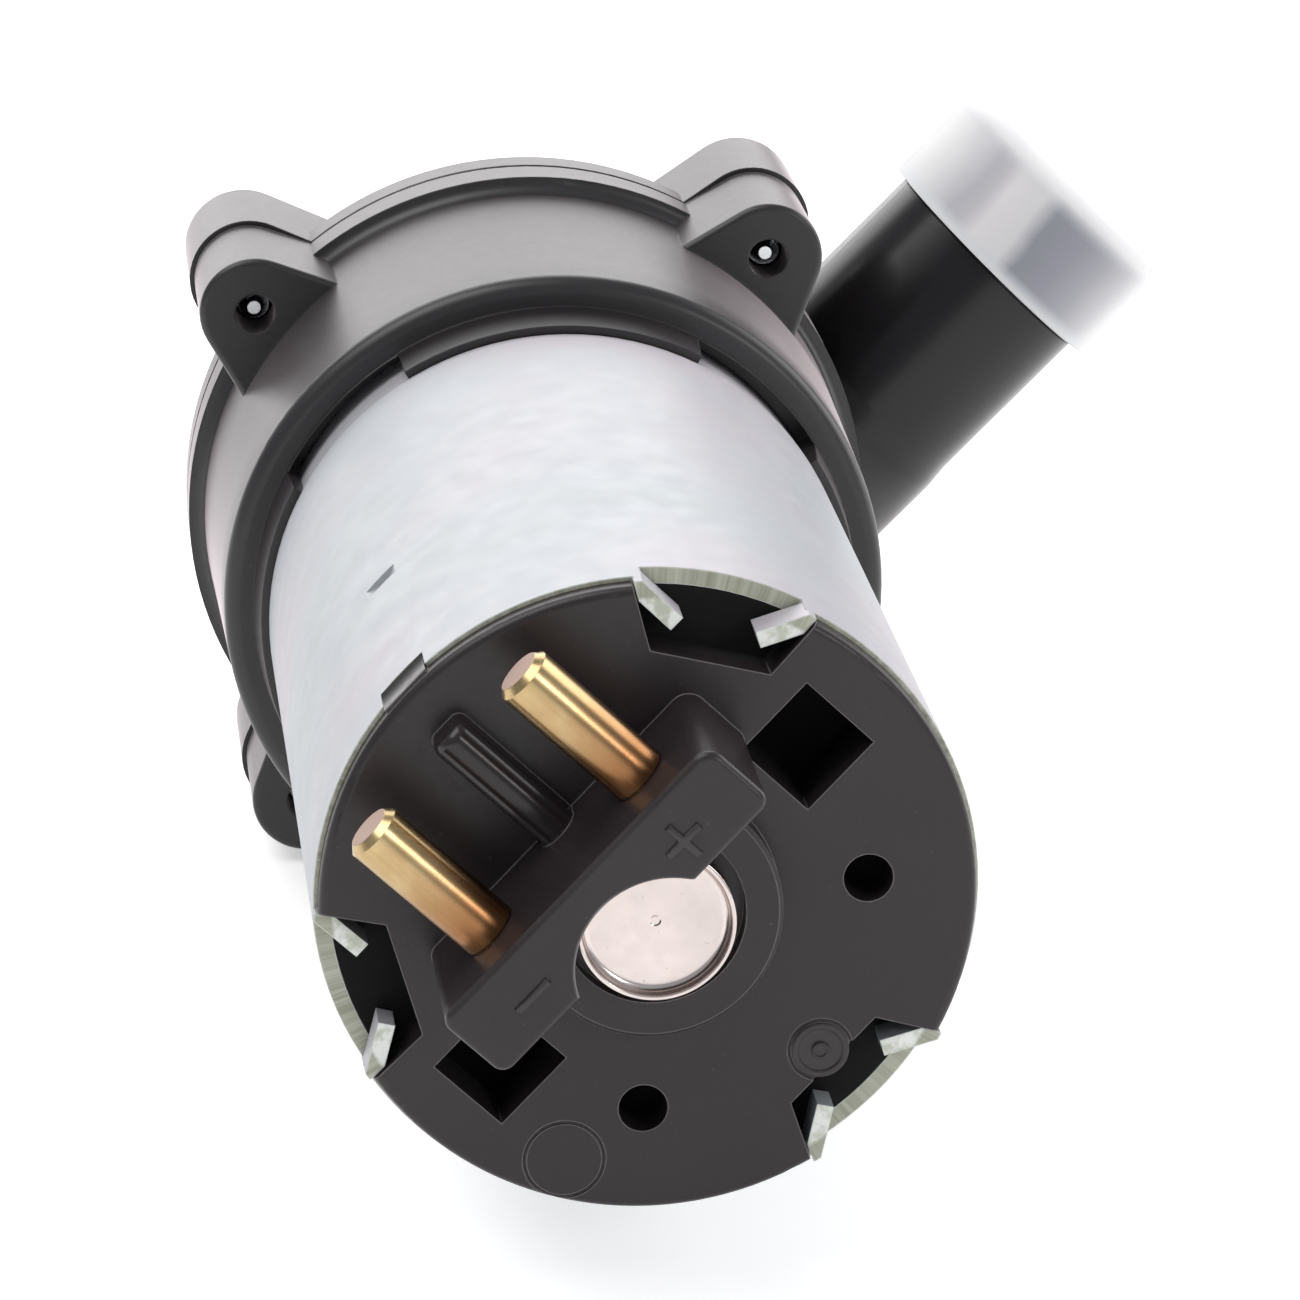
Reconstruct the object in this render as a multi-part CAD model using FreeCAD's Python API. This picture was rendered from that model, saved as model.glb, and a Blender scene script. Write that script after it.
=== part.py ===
"""Auxiliary water pump: brushed motor, magnetic coupling and centrifugal pump head.

Frame: the motor axis is the Y axis, the terminal end looks along -Y, Z is up.
The origin lies on the axis, halfway along the bare length of the motor can.
All depths are measured along the axis, from the flat face of the end cap.
Angles are seen from the terminal end: X is at 0 degrees and Z at 90 degrees.
"""
import FreeCAD
import Part

import math
import os

# Motor can
CAN_RADIUS = 23.0
CAN_WALL = 1.2
CAN_LENGTH = 76.4
CAN_CORNER = 1.6
CAN_BARE_LENGTH = 63.6
CAN_STEP = 0.3
CAN_STEP_GAP = 0.3
BEARING_BOSS_HEIGHT = 4.0
BEARING_BOSS_WALL = 1.2
STAKE_DEPTH_BEHIND_RIM = 23.4
STAKE_RADIUS = 2.5
STAKE_SINK = 0.5
STAKE_WIDTH = 1.8

# Staked ears and the notches that they close
NOTCH_COUNT = 3
NOTCH_FIRST_ANGLE = 76.4
NOTCH_OUTER_HALF_ANGLE = 16.6
NOTCH_INNER_HALF_ANGLE = 13.5
NOTCH_DEPTH = 3.6
NOTCH_REACH = 4.85
RIM_CUT_HALF_ANGLE = 14.5
EAR_TIP_HALF_ANGLE = 8.2
EAR_REACH = 3.05
EAR_TOP = 0.4
EAR_HEIGHT = 2.8
EAR_PLAY_ANGLE = 0.3

# End cap
TERMINAL_ANGLE = 46.4
CAP_FLANGE = 1.6
CAP_EDGE_ROUND = 0.6
CAP_EDGE_INSET = 0.3
CAP_PLATE = 5.0
CAP_SPIGOT_LENGTH = 3.0
CAP_SPIGOT_WALL = 1.8
BOSS_RADIUS = 8.95
BOSS_HEIGHT = 2.5
BOSS_RECESS_RADIUS = 6.2
BOSS_RECESS_DEPTH = 1.5
KEY_HALF_WIDTH = 2.0
KEY_LENGTH = 4.0
WINDOW_HALF_LENGTH = 3.25
WINDOW_HALF_WIDTH = 3.2
WINDOW_SIDE_SHIFT = -0.28
WINDOW_END_WALL = 0.8
WINDOW_FLOOR = 2.0
HOLE_SPREAD = 11.3
HOLE_DROP = 10.1
HOLE_RADIUS = 1.72
HOLE_DEPTH = 4.0
GATE_RADIUS = 2.3
GATE_FROM_RIM = 6.6
INSERT_FROM_RIM = 3.3
INSERT_ANGLE = -154.1
INSERT_RADIUS = 2.9
MARK_GROOVE = 0.25

# Terminal block, pins and the rib between them
BLOCK_HALF_LENGTH = 13.03
BLOCK_NEAR = 2.95
BLOCK_FAR = 8.9
BLOCK_HEIGHT = 12.45
BLOCK_SCALLOP_RADIUS = 6.35
BLOCK_CORNER_ROUND = 1.0
BLOCK_LARGE_ROUND = 1.4
BLOCK_TOP_ROUND = 0.5
PIN_RADIUS = 2.1
PIN_FROM_SIDE = 15.67
PIN_HEIGHT = 6.5
PIN_FROM_RIM = 2.9
PIN_SUNK = 5.0
PIN_CHAMFER = 0.5
PIN_NECK_STEP = 0.2
PIN_NECK_GAP = 0.1
TAIL_RADIUS = 1.2
TAIL_INSET = 2.9
TAIL_STANDS_OUT = 0.6
RIB_HALF_WIDTH = 1.5
RIB_HEIGHT = 3.0
RIB_END_ROUND = 0.7
RIB_FROM_RIM = 3.6

# Bearings, shaft and rotor
SHAFT_RADIUS = 2.5
SHAFT_BEYOND_BEARING = 1.9
REAR_BEARING_RADIUS = 4.6
REAR_BEARING_LENGTH = 7.0
FRONT_BEARING_RADIUS = 5.0
BEARING_CAP_RADIUS = 5.35
BEARING_CAP_HEIGHT = 3.1
BEARING_CAP_WALL = 0.6
BEARING_CAP_ROUND = 1.0
BEARING_CAP_DIMPLE = 0.4
COMMUTATOR_RADIUS = 7.5
COMMUTATOR_START = 9.0
COMMUTATOR_LENGTH = 12.0
COMMUTATOR_RISER = 1.8
RISER_RADIUS = 8.6
BAR_COUNT = 10
BAR_GROOVE = 0.5
CORE_START = 27.0
CORE_LENGTH = 33.0
SLOT_COVER = 2.2
TOOTH_WIDTH = 1.4
SLOT_MOUTH = 1.8
COIL_INNER_RADIUS = 5.6
COIL_INSET = 1.9
COIL_OVERHANG = 4.7
SPACER_RADIUS = 4.2

# Magnets in the can
AIR_GAP = 0.6
MAGNET_WALL = 6.98
MAGNET_HALF_ANGLE = 60.0
MAGNET_START = 22.0
MAGNET_LENGTH = 44.0
CLIP_STRIP = 1.1
CLIP_LEG = 5.0

# Brush gear
BRUSH_HALF_WIDTH = 2.75
BRUSH_HEIGHT = 6.3
BRUSH_CENTRE = 13.0
HOLDER_WALL = 0.8
HOLDER_INNER_END = 9.0
SPRING_RADIUS = 2.2
SPRING_LENGTH = 4.0
SPRING_WIRE = 0.5
RAIL_WIDTH = 1.6
STRAP_THICKNESS = 0.8
STRAP_EDGE = 0.6
STRAP_WIDTH = 1.3
STRAP_OVERLAP = 3.0

# Pump housing, the motor half of the head
GASKET_THICKNESS = 0.8
GASKET_WIDTH = 3.2
HEAD_DEPTH = 21.5
LIP_FACE_DEPTH = 4.2
LIP_START_WALL = 0.85
LIP_TOP_WALL = 1.25
LIP_ROUND = 1.2
HOUSING_NEAR_WALL = 3.3
HOUSING_TAPER = 0.6
HOUSING_FAR_WALL = 5.4
FLANGE_STEP = 1.3
FLANGE_THICKNESS = 4.0
FLANGE_RIM = 1.3
SPLIT_CHAMFER = 0.3
POCKET_HALF_ANGLE = 15.5
POCKET_WIDTH = 1.2
POCKET_LENGTH = 6.8
SHOULDER = 2.0
LUG_COUNT = 4
LUG_FIRST_ANGLE = 49.7
LUG_OUTSTAND = 1.5
LUG_RADIUS = 4.5
COVER_LUG_RADIUS = 4.9
LUG_FOOT_HALF_WIDTH = 6.2
LUG_FOOT_DEPTH = 3.9
LUG_HEIGHT = 11.5
LUG_EDGE_ROUND = 0.5

# Magnetic coupling
CUP_SIDE_GAP = 1.9
CUP_WALL = 1.2
CUP_BASE = 1.6
CUP_HUB_RADIUS = 5.5
CUP_HUB_HEIGHT = 1.2
DRIVE_MAGNET_WALL = 2.75
DRIVE_MAGNET_HALF_ANGLE = 42.0
SHELL_WALL = 1.0
SHELL_END = 1.6
SHELL_FLANGE = 1.1
SHELL_HUB_HEIGHT = 0.6
HUB_RADIUS = 4.0
SEAL_INSET = 1.0
SEAL_CORD_RADIUS = 0.65
SEAL_SIDE_PLAY = 0.15

# Impeller and its axle
AXLE_RADIUS = 2.0
BUSH_RADIUS = 4.0
WASHER_THICKNESS = 0.36
ROTOR_MAGNET_WALL = 4.15
IMPELLER_TIP_GAP = 1.2
IMPELLER_LIFT = 3.1
BACK_PLATE = 1.6
VANE_HEIGHT = 5.3
SHROUD = 1.3
VANE_COUNT = 7
VANE_THICKNESS = 1.4
VANE_START_RADIUS = 7.6
VANE_SWEEP = 62.0
EYE_RADIUS = 8.6
IMPELLER_HUB_RADIUS = 6.0
IMPELLER_HUB_DROP = 1.5

# Volute cover and its spigots
VOLUTE_START_ANGLE = -30.0
VOLUTE_END_ANGLE = 270.0
VOLUTE_RIM = 0.7
VOLUTE_GROWTH = 2.2
VOLUTE_WALL = 2.8
COVER_FLANGE = 3.5
COVER_WALL = 2.2
SPIGOT_RADIUS = 10.0
SPIGOT_BORE = 8.0
SPIGOT_CHAMFER = 0.6
SPIGOT_STOP = 0.2
SPIGOT_STOP_LENGTH = 2.0
OUTLET_GRIP_START = 25.2
OUTLET_LEAD_STEP = 0.2
CAP_GAP = 0.2
OUTLET_ANGLE = 45.0
OUTLET_RISE = 13.0
OUTLET_REACH = 49.4
THROAT_RADIUS = 6.2
THROAT_GROWTH = 15.0
THROAT_TIP_RADIUS = 1.6
NOSE_ANGLE = 31.6
NOSE_DRAW = 3.2
DIFFUSER_LENGTH = 26.0
INLET_REACH = 23.2
INLET_FLARE = 2.0
SNOUT_WALL = 2.5
SNOUT_GAP = 1.0
SPIDER_HUB_RADIUS = 3.5
SPIDER_HUB_LENGTH = 5.7
SPIDER_ARMS = 3
SPIDER_ARM_WIDTH = 1.8
SPIDER_ARM_HEIGHT = 2.5

# Screws and the outlet's transport cap
SCREW_RADIUS = 1.55
SCREW_HEAD_RADIUS = 3.2
SCREW_HEAD_HEIGHT = 2.4
SCREW_TIP_RADIUS = 0.6
SCREW_TIP_INSET = 2.0
CAP_COVERS_SPIGOT = 8.8
OUTLET_CAP_RADIUS = 11.1
OUTLET_CAP_WALL = 0.75
OUTLET_CAP_END = 0.9
OUTLET_CAP_ROUND = 1.8
CAP_RIB_COUNT = 8
CAP_RIB_WIDTH = 0.8

# Clearances
SEAT = 0.05
RUN = 0.03
END_PLAY = 0.02
RUN_GAP = 0.6
SCREW_PLAY = 0.25
THREAD_PLAY = 0.05
HEAD_PLAY = 0.5

# What follows from the sizes above
CAN_INSIDE = CAN_RADIUS - CAN_WALL
CAN_RIM = CAP_FLANGE
CAN_FRONT = CAN_RIM + CAN_LENGTH
CAN_BOTTOM = CAN_FRONT - CAN_WALL
HEAD_START = CAN_RIM + CAN_BARE_LENGTH
CAN_MIDDLE = (CAN_RIM + HEAD_START) / 2
CAN_SEAT_RADIUS = CAN_RADIUS - CAN_STEP
NOTCH_INNER_RADIUS = CAN_RADIUS - NOTCH_REACH
EAR_TIP_RADIUS = CAN_RADIUS - EAR_REACH
PIN_REACH = CAN_RADIUS - PIN_FROM_RIM
PIN_SPREAD = CAN_RADIUS - PIN_FROM_SIDE
RIB_REACH = CAN_RADIUS - RIB_FROM_RIM
CORE_RADIUS = CAN_INSIDE - MAGNET_WALL - SEAT / 2 - AIR_GAP
SLOT_HALF_PITCH = math.sin(math.pi / BAR_COUNT)
SLOT_CIRCLE = (CORE_RADIUS - SLOT_COVER + TOOTH_WIDTH / 2) / (1 + SLOT_HALF_PITCH)
SLOT_RADIUS = SLOT_CIRCLE * SLOT_HALF_PITCH - TOOTH_WIDTH / 2
COIL_RADIUS = CORE_RADIUS - COIL_INSET
BOSS_FLOOR = BOSS_RECESS_DEPTH - BOSS_HEIGHT
BOSS_END = CAN_FRONT + BEARING_BOSS_HEIGHT
REAR_BEARING_END = BOSS_FLOOR + REAR_BEARING_LENGTH
CAP_HUB_RADIUS = REAR_BEARING_RADIUS + SEAT + CAP_SPIGOT_WALL
CORE_END = CORE_START + CORE_LENGTH
COMMUTATOR_END = COMMUTATOR_START + COMMUTATOR_LENGTH
BRUSH_REACH = COMMUTATOR_RADIUS + SEAT
HOLDER_HALF_WIDTH = BRUSH_HALF_WIDTH + SEAT + HOLDER_WALL
HOLDER_TOP = BRUSH_CENTRE - BRUSH_HEIGHT / 2 - SEAT - HOLDER_WALL
HOLDER_BOTTOM = BRUSH_CENTRE + BRUSH_HEIGHT / 2 + SEAT + HOLDER_WALL
HOLDER_OUTER_END = CAN_INSIDE - CAP_SPIGOT_WALL - RUN_GAP
WINDOW_CENTRE = HOLDER_OUTER_END - WINDOW_END_WALL - WINDOW_HALF_LENGTH
SPRING_START = HOLDER_OUTER_END - HOLDER_WALL - SPRING_LENGTH
HOUSING_NEAR_RADIUS = CAN_RADIUS + HOUSING_NEAR_WALL
HOUSING_FAR_RADIUS = HOUSING_NEAR_RADIUS + HOUSING_TAPER
HOUSING_CHAMBER_RADIUS = HOUSING_FAR_RADIUS - HOUSING_FAR_WALL
FLANGE_RADIUS = HOUSING_FAR_RADIUS + FLANGE_STEP
SHELL_FLANGE_RADIUS = FLANGE_RADIUS - FLANGE_RIM
LUG_CIRCLE = FLANGE_RADIUS + LUG_OUTSTAND
LUG_FOOT_RADIUS = LUG_CIRCLE - LUG_FOOT_DEPTH
SEAL_RING_RADIUS = SHELL_FLANGE_RADIUS - SEAL_INSET
SEAL_GROOVE_HALF = SEAL_CORD_RADIUS + SEAL_SIDE_PLAY
VOLUTE_END_RADIUS = SEAL_RING_RADIUS - SEAL_GROOVE_HALF - VOLUTE_RIM
VOLUTE_START_RADIUS = VOLUTE_END_RADIUS - VOLUTE_GROWTH
IMPELLER_RADIUS = VOLUTE_START_RADIUS - IMPELLER_TIP_GAP
OUTLET_OFFSET = VOLUTE_END_RADIUS - THROAT_RADIUS
CUP_RADIUS = HOUSING_CHAMBER_RADIUS - CUP_SIDE_GAP
DRIVE_MAGNET_RADIUS = CUP_RADIUS - CUP_WALL - END_PLAY
SHELL_RADIUS = DRIVE_MAGNET_RADIUS - DRIVE_MAGNET_WALL - RUN_GAP
SHELL_INNER_RADIUS = SHELL_RADIUS - SHELL_WALL
ROTOR_MAGNET_RADIUS = SHELL_INNER_RADIUS - RUN_GAP
STEM_RADIUS = ROTOR_MAGNET_RADIUS - ROTOR_MAGNET_WALL - SEAT
CUP_BACK = BOSS_END + RUN_GAP
CUP_FLOOR = CUP_BACK + CUP_BASE
SHAFT_END = CUP_FLOOR + CUP_HUB_HEIGHT
SHAFT_START = BOSS_FLOOR - SHAFT_BEYOND_BEARING
SHELL_BACK = SHAFT_END + RUN_GAP
SHELL_FLOOR = SHELL_BACK + SHELL_END
SPLIT = CAN_FRONT + HEAD_DEPTH
CUP_MOUTH = SPLIT - SHELL_FLANGE - RUN_GAP
STEM_START = SHELL_FLOOR + SHELL_HUB_HEIGHT + END_PLAY + WASHER_THICKNESS + END_PLAY
PLATE_START = SPLIT + IMPELLER_LIFT
VANE_START = PLATE_START + BACK_PLATE
VANE_END = VANE_START + VANE_HEIGHT
SHROUD_END = VANE_END + SHROUD
BUSH_END = VANE_END - IMPELLER_HUB_DROP
SPIDER_START = BUSH_END + END_PLAY + WASHER_THICKNESS + END_PLAY
SPIDER_END = SPIDER_START + SPIDER_HUB_LENGTH
OUTLET_DEPTH = SPLIT + OUTLET_RISE
COVER_FRONT = OUTLET_DEPTH + SPIGOT_RADIUS + SPIGOT_STOP
OUTLET_LEAD_RADIUS = SPIGOT_RADIUS - OUTLET_LEAD_STEP
OUTLET_CAP_START = OUTLET_REACH - CAP_COVERS_SPIGOT
CHAMBER_END = COVER_FRONT - COVER_WALL
NOSE_RADIUS = VOLUTE_START_RADIUS - NOSE_DRAW
LUG_FRONT = SPLIT + LUG_HEIGHT
LUG_BACK = SPLIT - LUG_HEIGHT
LIP_FACE = HEAD_START + LIP_FACE_DEPTH


def vec(x, y, z):
    return FreeCAD.Vector(x, y, z)


def at(depth):
    """Y of a depth behind the end cap's face."""
    return depth - CAN_MIDDLE


def rod(radius, start, end, x=0.0, z=0.0):
    """Cylinder along the axis between two depths."""
    return Part.makeCylinder(radius, end - start, vec(x, at(start), z), vec(0, 1, 0))


def ring(outer, inner, start, end, x=0.0, z=0.0):
    return rod(outer, start, end, x, z).cut(rod(inner, start, end, x, z))


def block(x0, x1, start, end, z0, z1):
    """Box between two depths."""
    return Part.makeBox(x1 - x0, end - start, z1 - z0, vec(x0, at(start), z0))


def turned(shape, angle):
    """Copy turned about the axis, from X towards Z."""
    copy = shape.copy()
    copy.rotate(vec(0, 0, 0), vec(0, 1, 0), -angle)
    return copy


def around(shape, count, first=0.0):
    """Copies at equal angles round the axis."""
    return [turned(shape, first + k * 360.0 / count) for k in range(count)]


def join(shapes):
    return shapes[0].multiFuse(shapes[1:]).removeSplitter()


def outline(points, place):
    """Closed wire through points; a point given as (middle, end) ends an arc."""
    edges = []
    here = points[0]
    for step in points[1:] + [points[0]]:
        if isinstance(step[0], tuple):
            middle, end = step
            edges.append(Part.Arc(place(here), place(middle), place(end)).toShape())
        else:
            end = step
            if place(here).distanceToPoint(place(end)) > 1e-6:
                edges.append(Part.LineSegment(place(here), place(end)).toShape())
        here = end
    return Part.Wire(edges)


def revolve(points):
    """Solid of revolution about the axis from (radius, depth) points."""
    wire = outline(points, lambda p: vec(p[0], at(p[1]), 0))
    return Part.Face(wire).revolve(vec(0, 0, 0), vec(0, 1, 0), 360)


def prism(points, start, end):
    """Section of (x, z) points, drawn square to the axis, between two depths."""
    wire = outline(points, lambda p: vec(p[0], at(start), p[1]))
    return Part.Face(wire).extrude(vec(0, end - start, 0))


def polar(radius, angle):
    a = math.radians(angle)
    return (radius * math.cos(a), radius * math.sin(a))


def corner(centre, radius, a0, a1):
    """Arc step of a fillet for outline(): its middle and its end."""
    middle = math.radians((a0 + a1) / 2)
    last = math.radians(a1)
    return (
        (centre[0] + radius * math.cos(middle), centre[1] + radius * math.sin(middle)),
        (centre[0] + radius * math.cos(last), centre[1] + radius * math.sin(last)),
    )


def sector(outer, inner, start, end, middle, half):
    """Piece of a ring, half an angle to each side of its middle."""
    points = [
        polar(inner, -half),
        polar(outer, -half),
        (polar(outer, 0), polar(outer, half)),
        polar(inner, half),
        (polar(inner, 0), polar(inner, -half)),
    ]
    return turned(prism(points, start, end), middle)


def terminals(shape):
    """Turns a shape from the terminal block's own axes into the pump's frame."""
    return turned(shape, TERMINAL_ANGLE)


def notch_points(play=0.0):
    """Section of a notch about its middle line, open past the rim."""
    x0, z0 = polar(NOTCH_INNER_RADIUS, NOTCH_INNER_HALF_ANGLE - play)
    x1, z1 = polar(CAN_RADIUS, NOTCH_OUTER_HALF_ANGLE - play)
    slope = (z1 - z0) / (x1 - x0)
    x2 = CAN_RADIUS + 1
    z2 = z0 + slope * (x2 - x0)
    return [(x0, -z0), (x2, -z2), (x2, z2), (x0, z0)]


def notch_angles():
    return [NOTCH_FIRST_ANGLE + k * 360.0 / NOTCH_COUNT for k in range(NOTCH_COUNT)]


def make_ear():
    """One rim ear, folded in over the notch on its upper side."""
    tip = vec(*polar(EAR_TIP_RADIUS, EAR_TIP_HALF_ANGLE), 0)
    root = vec(*polar(CAN_RADIUS - CAN_WALL / 2, NOTCH_OUTER_HALF_ANGLE - 1.2), 0)
    along = (root - tip).normalize()
    root = root + along * CAN_WALL / 2
    side = vec(-along.y, along.x, 0) * CAN_WALL / 2
    ends = [tip - side, root - side, root + side, tip + side]
    ear = prism([(p.x, p.y) for p in ends], EAR_TOP, EAR_TOP + EAR_HEIGHT)
    limit = prism(notch_points(EAR_PLAY_ANGLE), 0, CAP_PLATE)
    return ear.common(limit).common(rod(CAN_RADIUS, 0, CAP_PLATE))


def make_motor_can():
    hole = SHAFT_RADIUS + RUN_GAP / 2
    bore = FRONT_BEARING_RADIUS + SEAT
    boss = bore + BEARING_BOSS_WALL
    step = HEAD_START - CAN_STEP_GAP
    outer = (CAN_SEAT_RADIUS - CAN_CORNER, CAN_FRONT - CAN_CORNER)
    bend = max(CAN_CORNER - CAN_WALL, 0.2)
    inner = (CAN_INSIDE - bend, CAN_BOTTOM - bend)
    shell = revolve([
        (CAN_INSIDE, CAN_RIM),
        (CAN_RADIUS, CAN_RIM),
        (CAN_RADIUS, step),
        (CAN_SEAT_RADIUS, step),
        (CAN_SEAT_RADIUS, outer[1]),
        corner(outer, CAN_CORNER, 0, 90),
        (boss, CAN_FRONT),
        (boss, BOSS_END),
        (hole, BOSS_END),
        (hole, BOSS_END - RUN_GAP),
        (bore, BOSS_END - RUN_GAP),
        (bore, CAN_BOTTOM),
        (inner[0], CAN_BOTTOM),
        corner(inner, bend, 90, 0),
    ])
    cuts = []
    rim_cut = sector(CAN_RADIUS + 1, CAN_INSIDE - 1, 0, NOTCH_DEPTH, 0, RIM_CUT_HALF_ANGLE)
    for angle in notch_angles():
        cuts.append(turned(rim_cut, angle))
    slot = block(-KEY_HALF_WIDTH - SEAT, KEY_HALF_WIDTH + SEAT, 0, KEY_LENGTH + SEAT, CAN_INSIDE - 1, CAN_RADIUS + 1)
    cuts.append(terminals(slot))
    depth = CAN_RIM + STAKE_DEPTH_BEHIND_RIM
    stake = rod(STAKE_RADIUS, depth - STAKE_WIDTH / 2, depth + STAKE_WIDTH / 2,
                0, CAN_RADIUS + STAKE_RADIUS - STAKE_SINK)
    cuts.append(terminals(stake))
    cuts.append(turned(terminals(stake), 180))
    shell = shell.cut(cuts)
    ears = []
    upper = make_ear()
    lower = upper.mirror(vec(0, 0, 0), vec(0, 0, 1))
    for angle in notch_angles():
        ears.append(turned(upper, angle))
        ears.append(turned(lower, angle))
    return join([shell] + ears)


def is_upright_at(edge, x, z):
    """True for an edge along the axis that passes through (x, z)."""
    return all(abs(v.X - x) + abs(v.Z - z) < 1e-4 for v in edge.Vertexes)


def make_terminal_block():
    """Block with its rounded corners and top, standing on the cap's face."""
    body = block(-BLOCK_HALF_LENGTH, BLOCK_HALF_LENGTH, -BLOCK_HEIGHT, 0, BLOCK_NEAR, BLOCK_FAR)
    large = [e for e in body.Edges if is_upright_at(e, BLOCK_HALF_LENGTH, BLOCK_FAR)]
    body = body.makeFillet(BLOCK_LARGE_ROUND, large)
    others = [(BLOCK_HALF_LENGTH, BLOCK_NEAR), (-BLOCK_HALF_LENGTH, BLOCK_NEAR), (-BLOCK_HALF_LENGTH, BLOCK_FAR)]
    small = [e for e in body.Edges if any(is_upright_at(e, x, z) for x, z in others)]
    body = body.makeFillet(BLOCK_CORNER_ROUND, small)
    top = [e for e in body.Edges if all(abs(v.Y - at(-BLOCK_HEIGHT)) < 1e-4 for v in e.Vertexes)]
    return body.makeFillet(BLOCK_TOP_ROUND, top)


def make_rib():
    """Low rib between the pins, with a half-round back."""
    z0 = BLOCK_FAR - 1
    low = block(-RIB_HALF_WIDTH, RIB_HALF_WIDTH, -RIB_HEIGHT + RIB_HALF_WIDTH, 0, z0, RIB_REACH)
    back = Part.makeCylinder(RIB_HALF_WIDTH, RIB_REACH - z0,
                             vec(0, at(-RIB_HEIGHT + RIB_HALF_WIDTH), z0), vec(0, 0, 1))
    rib = join([low, back])
    end = [e for e in rib.Edges if all(abs(v.Z - RIB_REACH) < 1e-4 for v in e.Vertexes)]
    raised = [e for e in end if e.CenterOfMass.y < at(0) - RIB_END_ROUND / 2]
    return rib.makeFillet(RIB_END_ROUND, raised)


def pin_root(slack):
    """Hidden neck and tail of a terminal pin; slack widens them for the hole that they sit in."""
    root = BLOCK_FAR - PIN_SUNK
    neck = Part.makeCylinder(PIN_RADIUS - PIN_NECK_STEP + slack, PIN_SUNK + PIN_NECK_GAP,
                             vec(PIN_SPREAD, at(-PIN_HEIGHT), root), vec(0, 0, 1))
    tail_end = CAP_PLATE + STRAP_THICKNESS + TAIL_STANDS_OUT
    tail = rod(TAIL_RADIUS + slack, -PIN_HEIGHT, tail_end, PIN_SPREAD, BLOCK_FAR - TAIL_INSET)
    return neck.fuse(tail)


def make_end_cap():
    plate_radius = CAN_INSIDE - SEAT
    edge = CAN_RADIUS - CAP_EDGE_INSET
    bore = REAR_BEARING_RADIUS + SEAT
    spigot_end = CAP_PLATE + CAP_SPIGOT_LENGTH
    spigot_inside = plate_radius - CAP_SPIGOT_WALL
    disc = revolve([
        (bore, BOSS_FLOOR),
        (BOSS_RECESS_RADIUS, BOSS_FLOOR),
        (BOSS_RECESS_RADIUS, -BOSS_HEIGHT),
        (BOSS_RADIUS - 0.3, -BOSS_HEIGHT),
        (BOSS_RADIUS, -BOSS_HEIGHT + 0.3),
        (BOSS_RADIUS, 0),
        (edge - CAP_EDGE_ROUND, 0),
        corner((edge - CAP_EDGE_ROUND, CAP_EDGE_ROUND), CAP_EDGE_ROUND, -90, 0),
        (edge, CAN_RIM),
        (plate_radius, CAN_RIM),
        (plate_radius, spigot_end),
        (spigot_inside, spigot_end),
        (spigot_inside, CAP_PLATE),
        (CAP_HUB_RADIUS, CAP_PLATE),
        (CAP_HUB_RADIUS, REAR_BEARING_END),
        (bore, REAR_BEARING_END),
    ])
    key = block(-KEY_HALF_WIDTH, KEY_HALF_WIDTH, EAR_TOP, KEY_LENGTH, spigot_inside, CAN_RADIUS - SEAT)
    adds = [terminals(make_terminal_block()), terminals(make_rib()), terminals(key)]
    rail_inside = HOLDER_HALF_WIDTH + SEAT
    window_edge = WINDOW_CENTRE - WINDOW_HALF_LENGTH
    for side in (0, 180):
        rail = block(window_edge, HOLDER_OUTER_END, CAP_PLATE, HOLDER_BOTTOM - HOLDER_WALL,
                     rail_inside, rail_inside + RAIL_WIDTH)
        other = rail.mirror(vec(0, 0, 0), vec(0, 0, 1))
        ledge = block(window_edge - RAIL_WIDTH, window_edge, CAP_PLATE, HOLDER_TOP,
                      -HOLDER_HALF_WIDTH, HOLDER_HALF_WIDTH)
        floor = block(window_edge, HOLDER_OUTER_END, HOLDER_TOP - WINDOW_FLOOR, HOLDER_TOP,
                      -HOLDER_HALF_WIDTH, HOLDER_HALF_WIDTH)
        bridge = block(window_edge - RAIL_WIDTH, HOLDER_OUTER_END, CAP_PLATE, HOLDER_TOP,
                       HOLDER_HALF_WIDTH, rail_inside + RAIL_WIDTH)
        back = bridge.mirror(vec(0, 0, 0), vec(0, 0, 1))
        adds += [turned(terminals(s), side) for s in (rail, other, ledge, floor, bridge, back)]
    body = join([disc] + adds)
    cuts = [terminals(rod(BLOCK_SCALLOP_RADIUS, -BLOCK_HEIGHT - 1, BOSS_FLOOR))]
    cuts.append(rod(bore, BOSS_FLOOR - 1, REAR_BEARING_END + 1))
    for angle in notch_angles():
        cuts.append(turned(prism(notch_points(), -1, NOTCH_DEPTH), angle))
    for side in (-1, 1):
        x = side * WINDOW_CENTRE
        cuts.append(terminals(block(x - WINDOW_HALF_LENGTH, x + WINDOW_HALF_LENGTH, -1, CAP_PLATE,
                                    WINDOW_SIDE_SHIFT - WINDOW_HALF_WIDTH, WINDOW_SIDE_SHIFT + WINDOW_HALF_WIDTH)))
        cuts.append(terminals(rod(HOLE_RADIUS, -1, HOLE_DEPTH, side * HOLE_SPREAD, -HOLE_DROP)))
    pin_hole = pin_root(SEAT)
    cuts += [terminals(pin_hole), terminals(pin_hole.mirror(vec(0, 0, 0), vec(1, 0, 0)))]
    gate = (0, GATE_FROM_RIM - CAN_RADIUS, GATE_RADIUS)
    insert = (*polar(CAN_RADIUS - INSERT_FROM_RIM, INSERT_ANGLE), INSERT_RADIUS)
    for x, z, r in (gate, insert):
        cuts.append(terminals(ring(r, r - MARK_GROOVE, -1, MARK_GROOVE, x, z)))
    return body.cut(cuts)


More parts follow.
